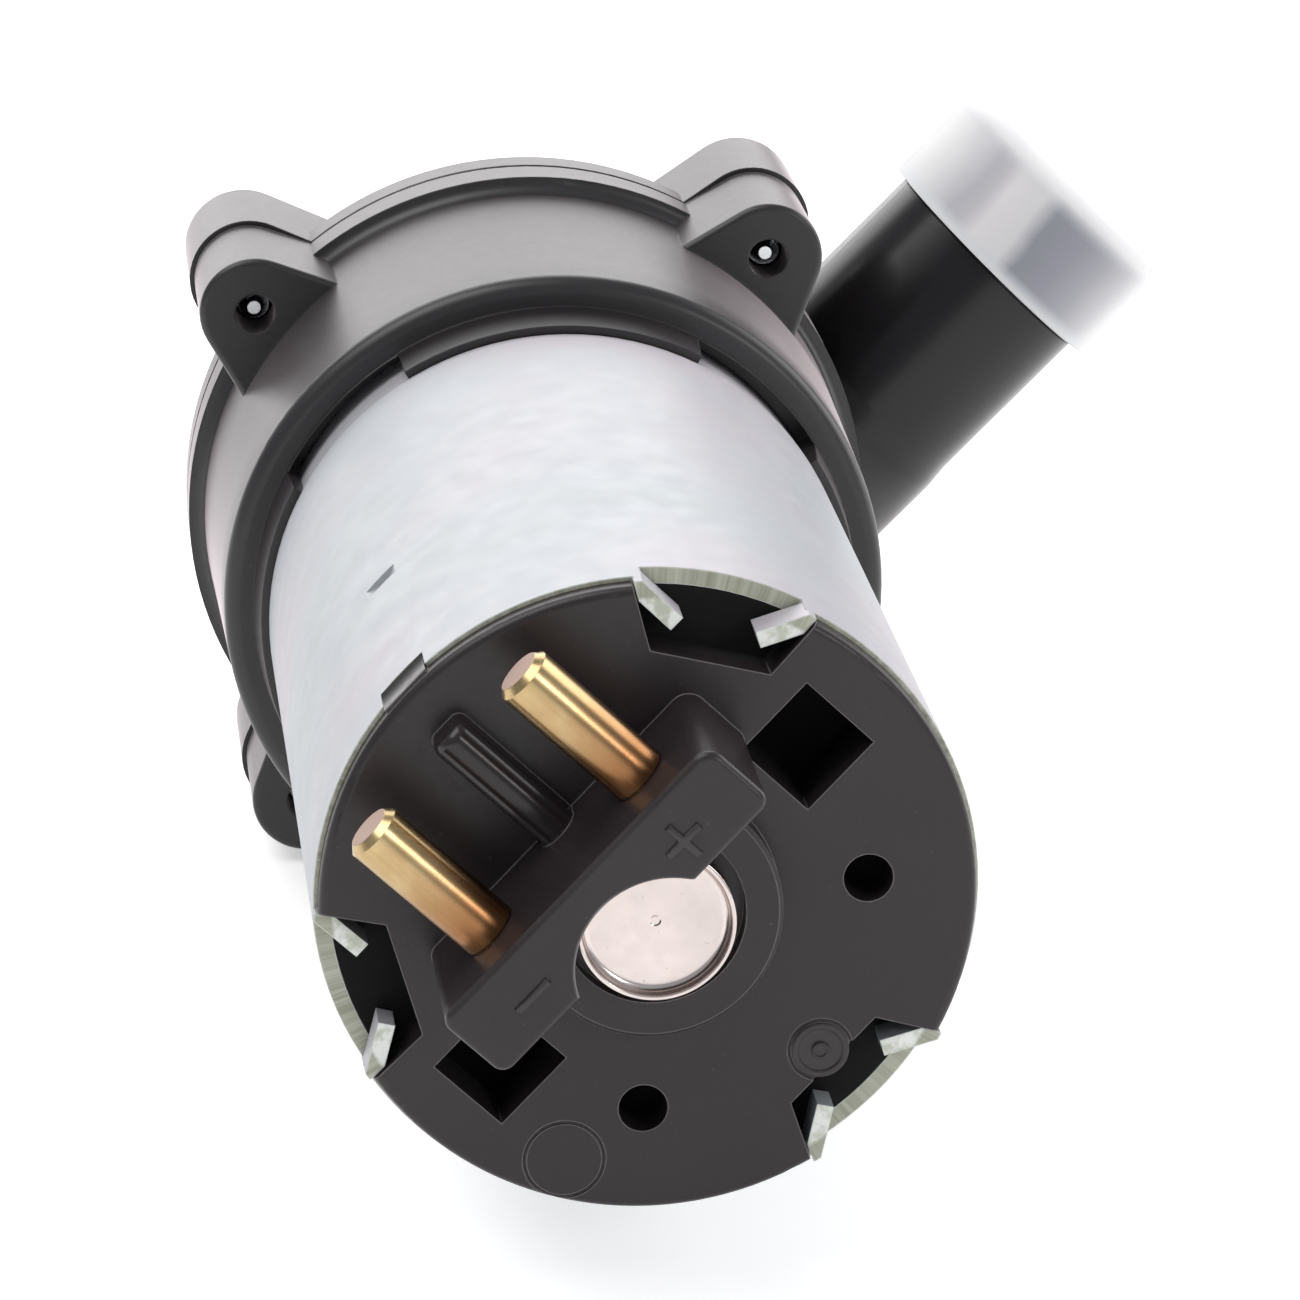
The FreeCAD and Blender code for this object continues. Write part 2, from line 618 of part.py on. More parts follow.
def make_terminal_pins():
    start = BLOCK_FAR + PIN_NECK_GAP
    pin = Part.makeCylinder(PIN_RADIUS, PIN_REACH - start, vec(PIN_SPREAD, at(-PIN_HEIGHT), start), vec(0, 0, 1))
    tip = [e for e in pin.Edges if all(abs(v.Z - PIN_REACH) < 1e-4 for v in e.Vertexes)]
    pin = pin.makeChamfer(PIN_CHAMFER, tip)
    right = join([pin, pin_root(0)])
    left = right.mirror(vec(0, 0, 0), vec(1, 0, 0))
    return Part.makeCompound([terminals(right), terminals(left)])


def make_terminal_straps():
    """Bent straps from the pins' tails to the sides of the brush holders."""
    z_tail = BLOCK_FAR - TAIL_INSET
    hole = TAIL_RADIUS + SEAT
    margin = hole + STRAP_EDGE
    x_far = WINDOW_CENTRE - WINDOW_HALF_LENGTH - RAIL_WIDTH - SEAT
    foot = block(PIN_SPREAD - margin, x_far, CAP_PLATE, CAP_PLATE + STRAP_THICKNESS, z_tail - margin, z_tail + margin)
    foot = foot.cut([
        rod(hole, CAP_PLATE - 1, CAP_PLATE + STRAP_THICKNESS + 1, PIN_SPREAD, z_tail),
        rod(CAP_HUB_RADIUS + SEAT, CAP_PLATE - 1, REAR_BEARING_END + 1),
    ])
    leg = block(x_far - STRAP_WIDTH, x_far, CAP_PLATE, HOLDER_TOP + STRAP_OVERLAP,
                HOLDER_HALF_WIDTH, HOLDER_HALF_WIDTH + STRAP_THICKNESS)
    strap = join([foot, leg])
    return Part.makeCompound([terminals(strap), terminals(strap.mirror(vec(0, 0, 0), vec(1, 0, 0)))])


def make_bearing_cap():
    top = BOSS_FLOOR - BEARING_CAP_HEIGHT
    r = BEARING_CAP_RADIUS
    w = BEARING_CAP_WALL
    centre = (r - BEARING_CAP_ROUND, top + BEARING_CAP_ROUND)
    return revolve([
        (0, top + BEARING_CAP_DIMPLE / 2),
        (BEARING_CAP_DIMPLE / 2, top + BEARING_CAP_DIMPLE / 2),
        (BEARING_CAP_DIMPLE, top),
        (centre[0], top),
        corner(centre, BEARING_CAP_ROUND, -90, 0),
        (r, BOSS_FLOOR),
        (r - w, BOSS_FLOOR),
        (r - w, top + BEARING_CAP_ROUND),
        corner(centre, BEARING_CAP_ROUND - w, 0, -90),
        (0, top + w),
    ])


def make_rear_bearing():
    return ring(REAR_BEARING_RADIUS, SHAFT_RADIUS + RUN, BOSS_FLOOR, REAR_BEARING_END)


def make_front_bearing():
    return ring(FRONT_BEARING_RADIUS, SHAFT_RADIUS + RUN, CAN_BOTTOM, BOSS_END - RUN_GAP)


def make_motor_shaft():
    end = 0.4
    r = SHAFT_RADIUS
    return revolve([
        (0, SHAFT_START),
        (r - end, SHAFT_START),
        (r, SHAFT_START + end),
        (r, SHAFT_END - end),
        (r - end, SHAFT_END),
        (0, SHAFT_END),
    ])


def make_armature_core():
    stack = ring(CORE_RADIUS, SHAFT_RADIUS + END_PLAY, CORE_START, CORE_END)
    slot = rod(SLOT_RADIUS, CORE_START, CORE_END, SLOT_CIRCLE, 0)
    mouth = block(SLOT_CIRCLE, CORE_RADIUS + 1, CORE_START, CORE_END, -SLOT_MOUTH / 2, SLOT_MOUTH / 2)
    return stack.cut(around(slot.fuse(mouth), BAR_COUNT))


def make_armature_windings():
    """End turns at both faces of the core, tied by the wire in its slots."""
    wire = rod(SLOT_RADIUS - SEAT, CORE_START - COIL_OVERHANG / 2, CORE_END + COIL_OVERHANG / 2, SLOT_CIRCLE, 0)
    turn = COIL_OVERHANG * 0.4

    def end_turns(face, away):
        outer = (COIL_RADIUS - turn, face + away * (COIL_OVERHANG - turn))
        return revolve([
            (COIL_INNER_RADIUS, face),
            (COIL_RADIUS, face),
            (COIL_RADIUS, outer[1]),
            corner(outer, turn, 0, 90 * away),
            (COIL_INNER_RADIUS, face + away * COIL_OVERHANG),
        ])

    return join([end_turns(CORE_START, -1), end_turns(CORE_END, 1)] + around(wire, BAR_COUNT))


def make_commutator():
    riser = COMMUTATOR_END - COMMUTATOR_RISER
    body = revolve([
        (SHAFT_RADIUS + END_PLAY, COMMUTATOR_START),
        (COMMUTATOR_RADIUS, COMMUTATOR_START),
        (COMMUTATOR_RADIUS, riser),
        (RISER_RADIUS, riser),
        (RISER_RADIUS, COMMUTATOR_END),
        (SHAFT_RADIUS + END_PLAY, COMMUTATOR_END),
    ])
    groove = block(COMMUTATOR_RADIUS - 0.8, RISER_RADIUS + 1, COMMUTATOR_START, COMMUTATOR_END,
                   -BAR_GROOVE / 2, BAR_GROOVE / 2)
    return body.cut(around(groove, BAR_COUNT, 180.0 / BAR_COUNT))


def make_rotor_spacers():
    """Sleeves that fill the shaft between the bearings and the rotor."""
    inner = SHAFT_RADIUS + END_PLAY
    rear = ring(SPACER_RADIUS, inner, REAR_BEARING_END + END_PLAY * 5, COMMUTATOR_START)
    middle = ring(SPACER_RADIUS, inner, COMMUTATOR_END, CORE_START)
    front = ring(SPACER_RADIUS, inner, CORE_END, CAN_BOTTOM - END_PLAY * 5)
    return Part.makeCompound([rear, middle, front])


def make_field_magnets():
    inner = CORE_RADIUS + AIR_GAP
    arc = sector(CAN_INSIDE - END_PLAY, inner, MAGNET_START, MAGNET_START + MAGNET_LENGTH,
                 TERMINAL_ANGLE, MAGNET_HALF_ANGLE)
    return Part.makeCompound([arc, turned(arc, 180)])


def make_magnet_clips():
    """Spring strips that push the two magnets apart round the can."""
    start = MAGNET_START + 2
    end = MAGNET_START + MAGNET_LENGTH - 2
    outer = CAN_INSIDE - END_PLAY
    half = 90 - MAGNET_HALF_ANGLE - 0.2
    leg_angle = math.degrees(CLIP_STRIP / CORE_RADIUS) / 2
    strip = sector(outer, outer - CLIP_STRIP, start, end, 0, half)
    legs = [
        sector(outer - CLIP_STRIP / 2, outer - CLIP_STRIP - CLIP_LEG, start, end, side * (half - leg_angle), leg_angle)
        for side in (-1, 1)
    ]
    clip = join([strip] + legs)
    return Part.makeCompound([turned(clip, TERMINAL_ANGLE + 90), turned(clip, TERMINAL_ANGLE - 90)])


def make_carbon_brushes():
    body = block(0, SPRING_START, BRUSH_CENTRE - BRUSH_HEIGHT / 2, BRUSH_CENTRE + BRUSH_HEIGHT / 2,
                 -BRUSH_HALF_WIDTH, BRUSH_HALF_WIDTH)
    body = body.cut(rod(BRUSH_REACH, 0, 2 * BRUSH_CENTRE))
    return Part.makeCompound([terminals(body), turned(terminals(body), 180)])


def make_brush_holders():
    outer = block(HOLDER_INNER_END, HOLDER_OUTER_END, HOLDER_TOP, HOLDER_BOTTOM,
                  -HOLDER_HALF_WIDTH, HOLDER_HALF_WIDTH)
    inner = block(HOLDER_INNER_END - 1, HOLDER_OUTER_END - HOLDER_WALL, HOLDER_TOP + HOLDER_WALL,
                  HOLDER_BOTTOM - HOLDER_WALL, -HOLDER_HALF_WIDTH + HOLDER_WALL, HOLDER_HALF_WIDTH - HOLDER_WALL)
    body = outer.cut(inner)
    return Part.makeCompound([terminals(body), turned(terminals(body), 180)])


def make_brush_springs():
    """Plain sleeves of the outer size of the two brush springs."""
    length = SPRING_LENGTH
    place = vec(SPRING_START, at(BRUSH_CENTRE), 0)
    outer = Part.makeCylinder(SPRING_RADIUS, length, place, vec(1, 0, 0))
    inner = Part.makeCylinder(SPRING_RADIUS - SPRING_WIRE, length, place, vec(1, 0, 0))
    body = outer.cut(inner)
    return Part.makeCompound([terminals(body), turned(terminals(body), 180)])


def make_can_gasket():
    outer = CAN_SEAT_RADIUS
    return ring(outer, outer - GASKET_WIDTH, CAN_FRONT, CAN_FRONT + GASKET_THICKNESS)


def make_lug(radius, start, end, near_face):
    """Screw lug: a rounded tip with straight flanks down to the wall, softened at its free face."""
    inset = LUG_FOOT_RADIUS - HOUSING_CHAMBER_RADIUS - 1.6
    across = vec(LUG_FOOT_RADIUS - LUG_CIRCLE, LUG_FOOT_HALF_WIDTH, 0)
    angle = math.degrees(math.atan2(across.y, across.x)) - math.degrees(math.acos(radius / across.Length))
    a = math.radians(angle)
    touch = (LUG_CIRCLE + radius * math.cos(a), radius * math.sin(a))
    points = [
        (LUG_FOOT_RADIUS - inset, -LUG_FOOT_HALF_WIDTH),
        (LUG_FOOT_RADIUS, -LUG_FOOT_HALF_WIDTH),
        (touch[0], -touch[1]),
        ((LUG_CIRCLE + radius, 0), touch),
        (LUG_FOOT_RADIUS, LUG_FOOT_HALF_WIDTH),
        (LUG_FOOT_RADIUS - inset, LUG_FOOT_HALF_WIDTH),
    ]
    lug = prism(points, start, end)
    rim = [e for e in lug.Edges if is_rounded_rim(e, near_face)]
    return lug.makeFillet(LUG_EDGE_ROUND, rim)


def is_rounded_rim(edge, depth):
    """True for a lug's edges at a depth, except the one inside the wall."""
    ends = [v.Point for v in edge.Vertexes]
    level = all(abs(p.y - at(depth)) < 1e-4 for p in ends)
    return level and max(p.x for p in ends) > LUG_FOOT_RADIUS + 0.01


def make_pump_housing():
    bore = CAN_SEAT_RADIUS + SEAT
    stop = CAN_FRONT + GASKET_THICKNESS
    seat_radius = SHELL_FLANGE_RADIUS + SEAT
    seat = SPLIT - SHELL_FLANGE
    flange_start = SPLIT - FLANGE_THICKNESS
    lip = bore + LIP_TOP_WALL
    lip_edge = (HOUSING_NEAR_RADIUS - LIP_ROUND, LIP_FACE + LIP_ROUND)
    fillet = (FLANGE_RADIUS, flange_start - FLANGE_STEP)
    wall = revolve([
        (bore, HEAD_START),
        (bore + LIP_START_WALL, HEAD_START),
        (lip, LIP_FACE),
        (lip_edge[0], LIP_FACE),
        corner(lip_edge, LIP_ROUND, -90, 0),
        (HOUSING_FAR_RADIUS, fillet[1]),
        corner(fillet, FLANGE_STEP, 180, 90),
        (FLANGE_RADIUS, SPLIT - SPLIT_CHAMFER),
        (FLANGE_RADIUS - SPLIT_CHAMFER, SPLIT),
        (seat_radius, SPLIT),
        (seat_radius, seat),
        (HOUSING_CHAMBER_RADIUS, seat),
        (HOUSING_CHAMBER_RADIUS, stop + SHOULDER),
        (bore - GASKET_WIDTH, stop + SHOULDER),
        (bore - GASKET_WIDTH, stop),
        (bore, stop),
    ])
    lug = make_lug(LUG_RADIUS, LUG_BACK, SPLIT, LUG_BACK)
    body = join([wall] + around(lug, LUG_COUNT, LUG_FIRST_ANGLE))
    inside = rod(seat_radius, seat, SPLIT + 1)
    hole = rod(SCREW_RADIUS + THREAD_PLAY, LUG_BACK - 1, SPLIT + 1, LUG_CIRCLE, 0)
    pocket = sector(bore + POCKET_WIDTH, CAN_INSIDE, HEAD_START - 1, HEAD_START + POCKET_LENGTH, 0, POCKET_HALF_ANGLE)
    cuts = [inside] + around(hole, LUG_COUNT, LUG_FIRST_ANGLE) + around(pocket, 4, TERMINAL_ANGLE)
    return body.cut(cuts)


def make_drive_cup():
    """Steel cup on the shaft, which carries the driving magnets round the sealed shell."""
    inner = SHAFT_RADIUS + END_PLAY
    return revolve([
        (inner, CUP_BACK),
        (CUP_RADIUS, CUP_BACK),
        (CUP_RADIUS, CUP_MOUTH),
        (CUP_RADIUS - CUP_WALL, CUP_MOUTH),
        (CUP_RADIUS - CUP_WALL, CUP_FLOOR),
        (CUP_HUB_RADIUS, CUP_FLOOR),
        (CUP_HUB_RADIUS, SHAFT_END),
        (inner, SHAFT_END),
    ])


def make_drive_magnets():
    inner = DRIVE_MAGNET_RADIUS - DRIVE_MAGNET_WALL
    arc = sector(DRIVE_MAGNET_RADIUS, inner, CUP_FLOOR, CUP_MOUTH - 0.4, 0, DRIVE_MAGNET_HALF_ANGLE)
    return Part.makeCompound(around(arc, 4, TERMINAL_ANGLE))


def make_separating_shell():
    """Thin sealed can between the driving magnets and the wet rotor."""
    outer = SHELL_RADIUS
    hub_end = SHELL_FLOOR + SHELL_HUB_HEIGHT
    blind = SHELL_BACK + SHELL_END / 2
    return revolve([
        (0, SHELL_BACK),
        (outer - 1, SHELL_BACK),
        corner((outer - 1, SHELL_BACK + 1), 1.0, -90, 0),
        (outer, SPLIT - SHELL_FLANGE),
        (SHELL_FLANGE_RADIUS, SPLIT - SHELL_FLANGE),
        (SHELL_FLANGE_RADIUS, SPLIT),
        (SHELL_INNER_RADIUS, SPLIT),
        (SHELL_INNER_RADIUS, SHELL_FLOOR),
        (HUB_RADIUS, SHELL_FLOOR),
        (HUB_RADIUS, hub_end),
        (AXLE_RADIUS + SEAT, hub_end),
        (AXLE_RADIUS + SEAT, blind),
        (0, blind),
    ])


def make_shell_seal():
    depth = SPLIT + SEAL_CORD_RADIUS
    return Part.makeTorus(SEAL_RING_RADIUS, SEAL_CORD_RADIUS, vec(0, at(depth), 0), vec(0, 1, 0))


def make_vane():
    """One vane, swept back against the turning direction, of even thickness."""
    outer_points = []
    inner_points = []
    steps = 6
    for k in range(steps + 1):
        share = k / steps
        radius = VANE_START_RADIUS + (IMPELLER_RADIUS - 0.4 - VANE_START_RADIUS) * share
        angle = -VANE_SWEEP * share
        half = math.degrees(VANE_THICKNESS / 2 / radius) * 1.25
        x, z = polar(radius, angle + half)
        outer_points.append(vec(x, at(VANE_START), z))
        x, z = polar(radius, angle - half)
        inner_points.append(vec(x, at(VANE_START), z))
    sides = []
    for points in (outer_points, inner_points):
        curve = Part.BSplineCurve()
        curve.interpolate(points)
        sides.append(curve.toShape())
    ends = [
        Part.LineSegment(outer_points[-1], inner_points[-1]).toShape(),
        Part.LineSegment(inner_points[0], outer_points[0]).toShape(),
    ]
    wire = Part.Wire([sides[0], ends[0], sides[1], ends[1]])
    return Part.Face(wire).extrude(vec(0, VANE_HEIGHT, 0))


def make_impeller():
    bore = BUSH_RADIUS + SEAT
    body = revolve([
        (bore, STEM_START),
        (STEM_RADIUS, STEM_START),
        (STEM_RADIUS, PLATE_START),
        (IMPELLER_RADIUS, PLATE_START),
        (IMPELLER_RADIUS, VANE_START),
        (IMPELLER_HUB_RADIUS + 1.5, VANE_START),
        corner((IMPELLER_HUB_RADIUS + 1.5, VANE_START + 1.5), 1.5, -90, -180),
        (IMPELLER_HUB_RADIUS, BUSH_END),
        (bore, BUSH_END),
    ])
    shroud = ring(IMPELLER_RADIUS, EYE_RADIUS, VANE_END, SHROUD_END)
    return join([body, shroud] + around(make_vane(), VANE_COUNT))


def make_rotor_magnet():
    return ring(ROTOR_MAGNET_RADIUS, STEM_RADIUS + SEAT, STEM_START, PLATE_START - IMPELLER_LIFT + 1)


def make_impeller_bush():
    return ring(BUSH_RADIUS, AXLE_RADIUS + RUN, STEM_START, BUSH_END)


def make_impeller_axle():
    return rod(AXLE_RADIUS, SHELL_BACK + SHELL_END / 2, SPIDER_END - 1)


def make_thrust_washers():
    rear = SHELL_FLOOR + SHELL_HUB_HEIGHT + END_PLAY
    front = BUSH_END + END_PLAY
    inner = AXLE_RADIUS + RUN
    outer = BUSH_RADIUS - 0.2
    return Part.makeCompound([
        ring(outer, inner, rear, rear + WASHER_THICKNESS),
        ring(outer, inner, front, front + WASHER_THICKNESS),
    ])


def spiral(start_radius, end_radius, start, end):
    """Solid inside the volute's spiral, which grows towards the outlet."""
    span = VOLUTE_END_ANGLE - VOLUTE_START_ANGLE
    steps = 15
    points = []
    for k in range(steps + 1):
        share = k / steps
        x, z = polar(start_radius + (end_radius - start_radius) * share, VOLUTE_START_ANGLE + span * share)
        points.append(vec(x, at(start), z))
    curve = Part.BSplineCurve()
    curve.interpolate(points)
    x, z = polar(start_radius, VOLUTE_END_ANGLE)
    back = vec(x, at(start), z)
    x, z = polar(start_radius, (VOLUTE_END_ANGLE + 360 + VOLUTE_START_ANGLE) / 2)
    middle = vec(x, at(start), z)
    step = Part.LineSegment(points[-1], back).toShape()
    close = Part.Arc(back, middle, points[0]).toShape()
    wire = Part.Wire([curve.toShape(), step, close])
    return Part.Face(wire).extrude(vec(0, end - start, 0))


def outlet_rod(radius, start, end, radius_end=None):
    """Cylinder or cone along the outlet, before it is turned to its angle."""
    place = vec(start, at(OUTLET_DEPTH), -OUTLET_OFFSET)
    if radius_end is None:
        return Part.makeCylinder(radius, end - start, place, vec(1, 0, 0))
    return Part.makeCone(radius, radius_end, end - start, place, vec(1, 0, 0))


def nose(radius, end):
    """Room under a cone that closes in on the inlet, down to a radius at its end."""
    wide = FLANGE_RADIUS
    wide_at = end - (wide - radius) / math.tan(math.radians(NOSE_ANGLE))
    return revolve([(0, SPLIT - 1), (wide, SPLIT - 1), (wide, wide_at), (radius, end), (0, end)])


def make_volute_cover():
    body = spiral(VOLUTE_START_RADIUS + VOLUTE_WALL, VOLUTE_END_RADIUS + VOLUTE_WALL, SPLIT, COVER_FRONT)
    body = body.common(nose(NOSE_RADIUS, COVER_FRONT))
    root_radius = SPIGOT_RADIUS + SPIGOT_STOP
    root_wall = root_radius - THROAT_RADIUS
    root_end = OUTLET_GRIP_START - SPIGOT_STOP_LENGTH
    lead_end = OUTLET_REACH - SPIGOT_CHAMFER
    tube = join([
        outlet_rod(THROAT_TIP_RADIUS + root_wall, -THROAT_GROWTH, 0, root_radius),
        outlet_rod(root_radius, 0, root_end),
        outlet_rod(root_radius, root_end, OUTLET_GRIP_START, SPIGOT_RADIUS),
        outlet_rod(SPIGOT_RADIUS, OUTLET_GRIP_START, OUTLET_CAP_START - CAP_GAP),
        outlet_rod(OUTLET_LEAD_RADIUS, OUTLET_CAP_START - CAP_GAP, lead_end),
        outlet_rod(OUTLET_LEAD_RADIUS, lead_end, OUTLET_REACH, OUTLET_LEAD_RADIUS - SPIGOT_CHAMFER),
    ])
    volute = join([body, tube])
    flange = revolve([
        (0, SPLIT),
        (FLANGE_RADIUS - SPLIT_CHAMFER, SPLIT),
        (FLANGE_RADIUS, SPLIT + SPLIT_CHAMFER),
        (FLANGE_RADIUS, SPLIT + COVER_FLANGE - SPLIT_CHAMFER),
        (FLANGE_RADIUS - SPLIT_CHAMFER, SPLIT + COVER_FLANGE),
        (0, SPLIT + COVER_FLANGE),
    ])
    inlet_end = COVER_FRONT + INLET_REACH
    flare = (SPIGOT_RADIUS + INLET_FLARE, COVER_FRONT + INLET_FLARE)
    snout_start = SHROUD_END + SNOUT_GAP
    inlet = revolve([
        (SPIGOT_BORE, snout_start),
        (SPIGOT_BORE + SNOUT_WALL, snout_start),
        (SPIGOT_BORE + SNOUT_WALL, CHAMBER_END),
        (flare[0], CHAMBER_END),
        (flare[0], COVER_FRONT),
        corner(flare, INLET_FLARE, -90, -180),
        (SPIGOT_RADIUS, inlet_end - SPIGOT_CHAMFER),
        (SPIGOT_RADIUS - SPIGOT_CHAMFER, inlet_end),
        (SPIGOT_BORE, inlet_end),
    ])
    lug = make_lug(COVER_LUG_RADIUS, SPLIT, LUG_FRONT, LUG_FRONT)
    shell = join([turned(volute, OUTLET_ANGLE), flange] + around(lug, LUG_COUNT, LUG_FIRST_ANGLE))
    chamber_nose = NOSE_RADIUS - VOLUTE_WALL + COVER_WALL * math.tan(math.radians(NOSE_ANGLE))
    chamber = spiral(VOLUTE_START_RADIUS, VOLUTE_END_RADIUS, SPLIT, CHAMBER_END).common(nose(chamber_nose, CHAMBER_END))
    growth = outlet_rod(THROAT_TIP_RADIUS, -THROAT_GROWTH, 0, THROAT_RADIUS)
    throat = outlet_rod(THROAT_RADIUS, 0, DIFFUSER_LENGTH, SPIGOT_BORE)
    bore = outlet_rod(SPIGOT_BORE, DIFFUSER_LENGTH, OUTLET_REACH + 1)
    passage = turned(join([chamber, growth, throat, bore]), OUTLET_ANGLE)
    groove = ring(SEAL_RING_RADIUS + SEAL_GROOVE_HALF, SEAL_RING_RADIUS - SEAL_GROOVE_HALF,
                  SPLIT, SPLIT + 2 * SEAL_CORD_RADIUS)
    hole = rod(SCREW_RADIUS + SCREW_PLAY, SPLIT - 1, LUG_FRONT + 1, LUG_CIRCLE, 0)
    head = rod(SCREW_HEAD_RADIUS + HEAD_PLAY, LUG_FRONT, COVER_FRONT + 1, LUG_CIRCLE, 0)
    cuts = [passage, groove, rod(SPIGOT_BORE, CHAMBER_END - 1, COVER_FRONT + 1)]
    cuts += around(hole, LUG_COUNT, LUG_FIRST_ANGLE) + around(head, LUG_COUNT, LUG_FIRST_ANGLE)
    shell = shell.cut(cuts)
    hub = rod(SPIDER_HUB_RADIUS, SPIDER_START, SPIDER_END)
    arm = block(SPIDER_HUB_RADIUS - 1, SPIGOT_BORE + 0.5, SPIDER_END - SPIDER_ARM_HEIGHT, SPIDER_END,
                -SPIDER_ARM_WIDTH / 2, SPIDER_ARM_WIDTH / 2)
    spider = join([hub] + around(arm, SPIDER_ARMS, 90))
    spider = spider.cut(rod(AXLE_RADIUS + SEAT, SPIDER_START - 1, SPIDER_END - 1))
    return join([shell, inlet, spider])


def make_cover_screws():
    head_end = LUG_FRONT + SCREW_HEAD_HEIGHT
    tip = LUG_BACK + SCREW_TIP_INSET
    taper = SCREW_RADIUS
    screw = revolve([
        (0, tip),
        (SCREW_TIP_RADIUS, tip),
        (SCREW_RADIUS, tip + taper),
        (SCREW_RADIUS, LUG_FRONT),
        (SCREW_HEAD_RADIUS, LUG_FRONT),
        (SCREW_HEAD_RADIUS, head_end - 0.8),
        (SCREW_HEAD_RADIUS - 0.8, head_end),
        (0, head_end),
    ])
    screw.translate(vec(LUG_CIRCLE, 0, 0))
    return Part.makeCompound(around(screw, LUG_COUNT, LUG_FIRST_ANGLE))


def make_outlet_cap():
    """Soft transport cap over the outlet, with crush ribs inside."""
    start = OUTLET_CAP_START
    floor = OUTLET_REACH + SEAT
    end = floor + OUTLET_CAP_END
    outer = outlet_rod(OUTLET_CAP_RADIUS, start, end)
    far = [e for e in outer.Edges if all(abs(v.X - end) < 1e-4 for v in e.Vertexes)]
    outer = outer.makeFillet(OUTLET_CAP_ROUND, far)
    ribs = []
    inside = OUTLET_CAP_RADIUS - OUTLET_CAP_WALL
    rib_height = inside - OUTLET_LEAD_RADIUS + OUTLET_CAP_WALL / 2
    rib = Part.makeBox(floor - start, CAP_RIB_WIDTH, rib_height,
                       vec(start, at(OUTLET_DEPTH) - CAP_RIB_WIDTH / 2, OUTLET_LEAD_RADIUS))
    rib.translate(vec(0, 0, -OUTLET_OFFSET))
    shell = outer.cut(outlet_rod(inside, start - 1, floor))
    for k in range(CAP_RIB_COUNT):
        copy = rib.copy()
        copy.rotate(vec(0, at(OUTLET_DEPTH), -OUTLET_OFFSET), vec(1, 0, 0), k * 360.0 / CAP_RIB_COUNT)
        ribs.append(copy)
    shell = join([shell] + ribs)
    shell = shell.cut(outlet_rod(OUTLET_LEAD_RADIUS + SEAT, start - 1, floor))
    return turned(shell, OUTLET_ANGLE)


MAKERS = {
    "motor_can": make_motor_can,
    "end_cap": make_end_cap,
    "terminal_pins": make_terminal_pins,
    "terminal_straps": make_terminal_straps,
    "bearing_cap": make_bearing_cap,
    "rear_bearing": make_rear_bearing,
    "front_bearing": make_front_bearing,
    "motor_shaft": make_motor_shaft,
    "armature_core": make_armature_core,
    "armature_windings": make_armature_windings,
    "commutator": make_commutator,
    "rotor_spacers": make_rotor_spacers,
    "field_magnets": make_field_magnets,
    "magnet_clips": make_magnet_clips,
    "carbon_brushes": make_carbon_brushes,
    "brush_holders": make_brush_holders,
    "brush_springs": make_brush_springs,
    "can_gasket": make_can_gasket,
    "pump_housing": make_pump_housing,
    "drive_cup": make_drive_cup,
    "drive_magnets": make_drive_magnets,
    "separating_shell": make_separating_shell,
    "shell_seal": make_shell_seal,
    "impeller": make_impeller,
    "rotor_magnet": make_rotor_magnet,
    "impeller_bush": make_impeller_bush,
    "impeller_axle": make_impeller_axle,
    "thrust_washers": make_thrust_washers,
    "volute_cover": make_volute_cover,
    "cover_screws": make_cover_screws,
    "outlet_cap": make_outlet_cap,
}


def main():
    os.makedirs("parts", exist_ok=True)
    for name, maker in MAKERS.items():
        shape = maker()
        if not shape.isValid() or shape.Volume <= 0:
            raise ValueError("bad solid: " + name)
        shape.exportStep(os.path.join("parts", name + ".step"))
        print(name, len(shape.Solids), round(shape.Volume, 1))


main()
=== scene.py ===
"""Auxiliary water pump, dressed for viewing.

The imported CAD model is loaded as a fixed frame.  Each operator below finishes
one piece, or one group of like pieces, and the last one sets the stage.
Lengths in this file are in millimetres unless a property says otherwise, and
mm() turns them into Blender's metres.
"""
import bpy
import math
from mathutils import Matrix, Vector


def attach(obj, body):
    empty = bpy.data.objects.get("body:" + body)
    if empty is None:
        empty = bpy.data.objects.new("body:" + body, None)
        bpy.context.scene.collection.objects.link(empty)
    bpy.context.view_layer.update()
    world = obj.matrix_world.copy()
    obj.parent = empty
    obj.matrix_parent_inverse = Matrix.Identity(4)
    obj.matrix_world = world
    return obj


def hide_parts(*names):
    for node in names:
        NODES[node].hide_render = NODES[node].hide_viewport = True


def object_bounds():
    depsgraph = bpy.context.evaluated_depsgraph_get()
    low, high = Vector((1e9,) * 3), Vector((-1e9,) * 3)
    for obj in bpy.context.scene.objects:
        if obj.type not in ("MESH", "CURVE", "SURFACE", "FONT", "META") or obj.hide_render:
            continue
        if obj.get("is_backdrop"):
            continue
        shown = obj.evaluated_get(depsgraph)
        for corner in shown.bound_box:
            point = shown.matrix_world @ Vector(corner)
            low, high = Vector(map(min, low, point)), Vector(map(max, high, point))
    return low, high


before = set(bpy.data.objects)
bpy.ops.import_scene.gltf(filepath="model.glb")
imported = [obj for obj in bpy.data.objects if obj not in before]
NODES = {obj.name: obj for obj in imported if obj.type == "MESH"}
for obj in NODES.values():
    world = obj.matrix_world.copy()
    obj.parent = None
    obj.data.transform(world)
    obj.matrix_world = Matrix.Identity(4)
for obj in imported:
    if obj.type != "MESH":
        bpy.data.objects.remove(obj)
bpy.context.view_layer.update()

bl_info = {
    "name": "Auxiliary water pump",
    "version": (1, 0, 0),
    "blender": (4, 5, 0),
    "location": "View3D > Sidebar > Water pump",
    "description": "Finishes the pieces of an auxiliary water pump and sets its stage",
    "category": "Object",
}

# Depth of the frame's origin behind the end cap's face
ORIGIN_DEPTH = 33.4
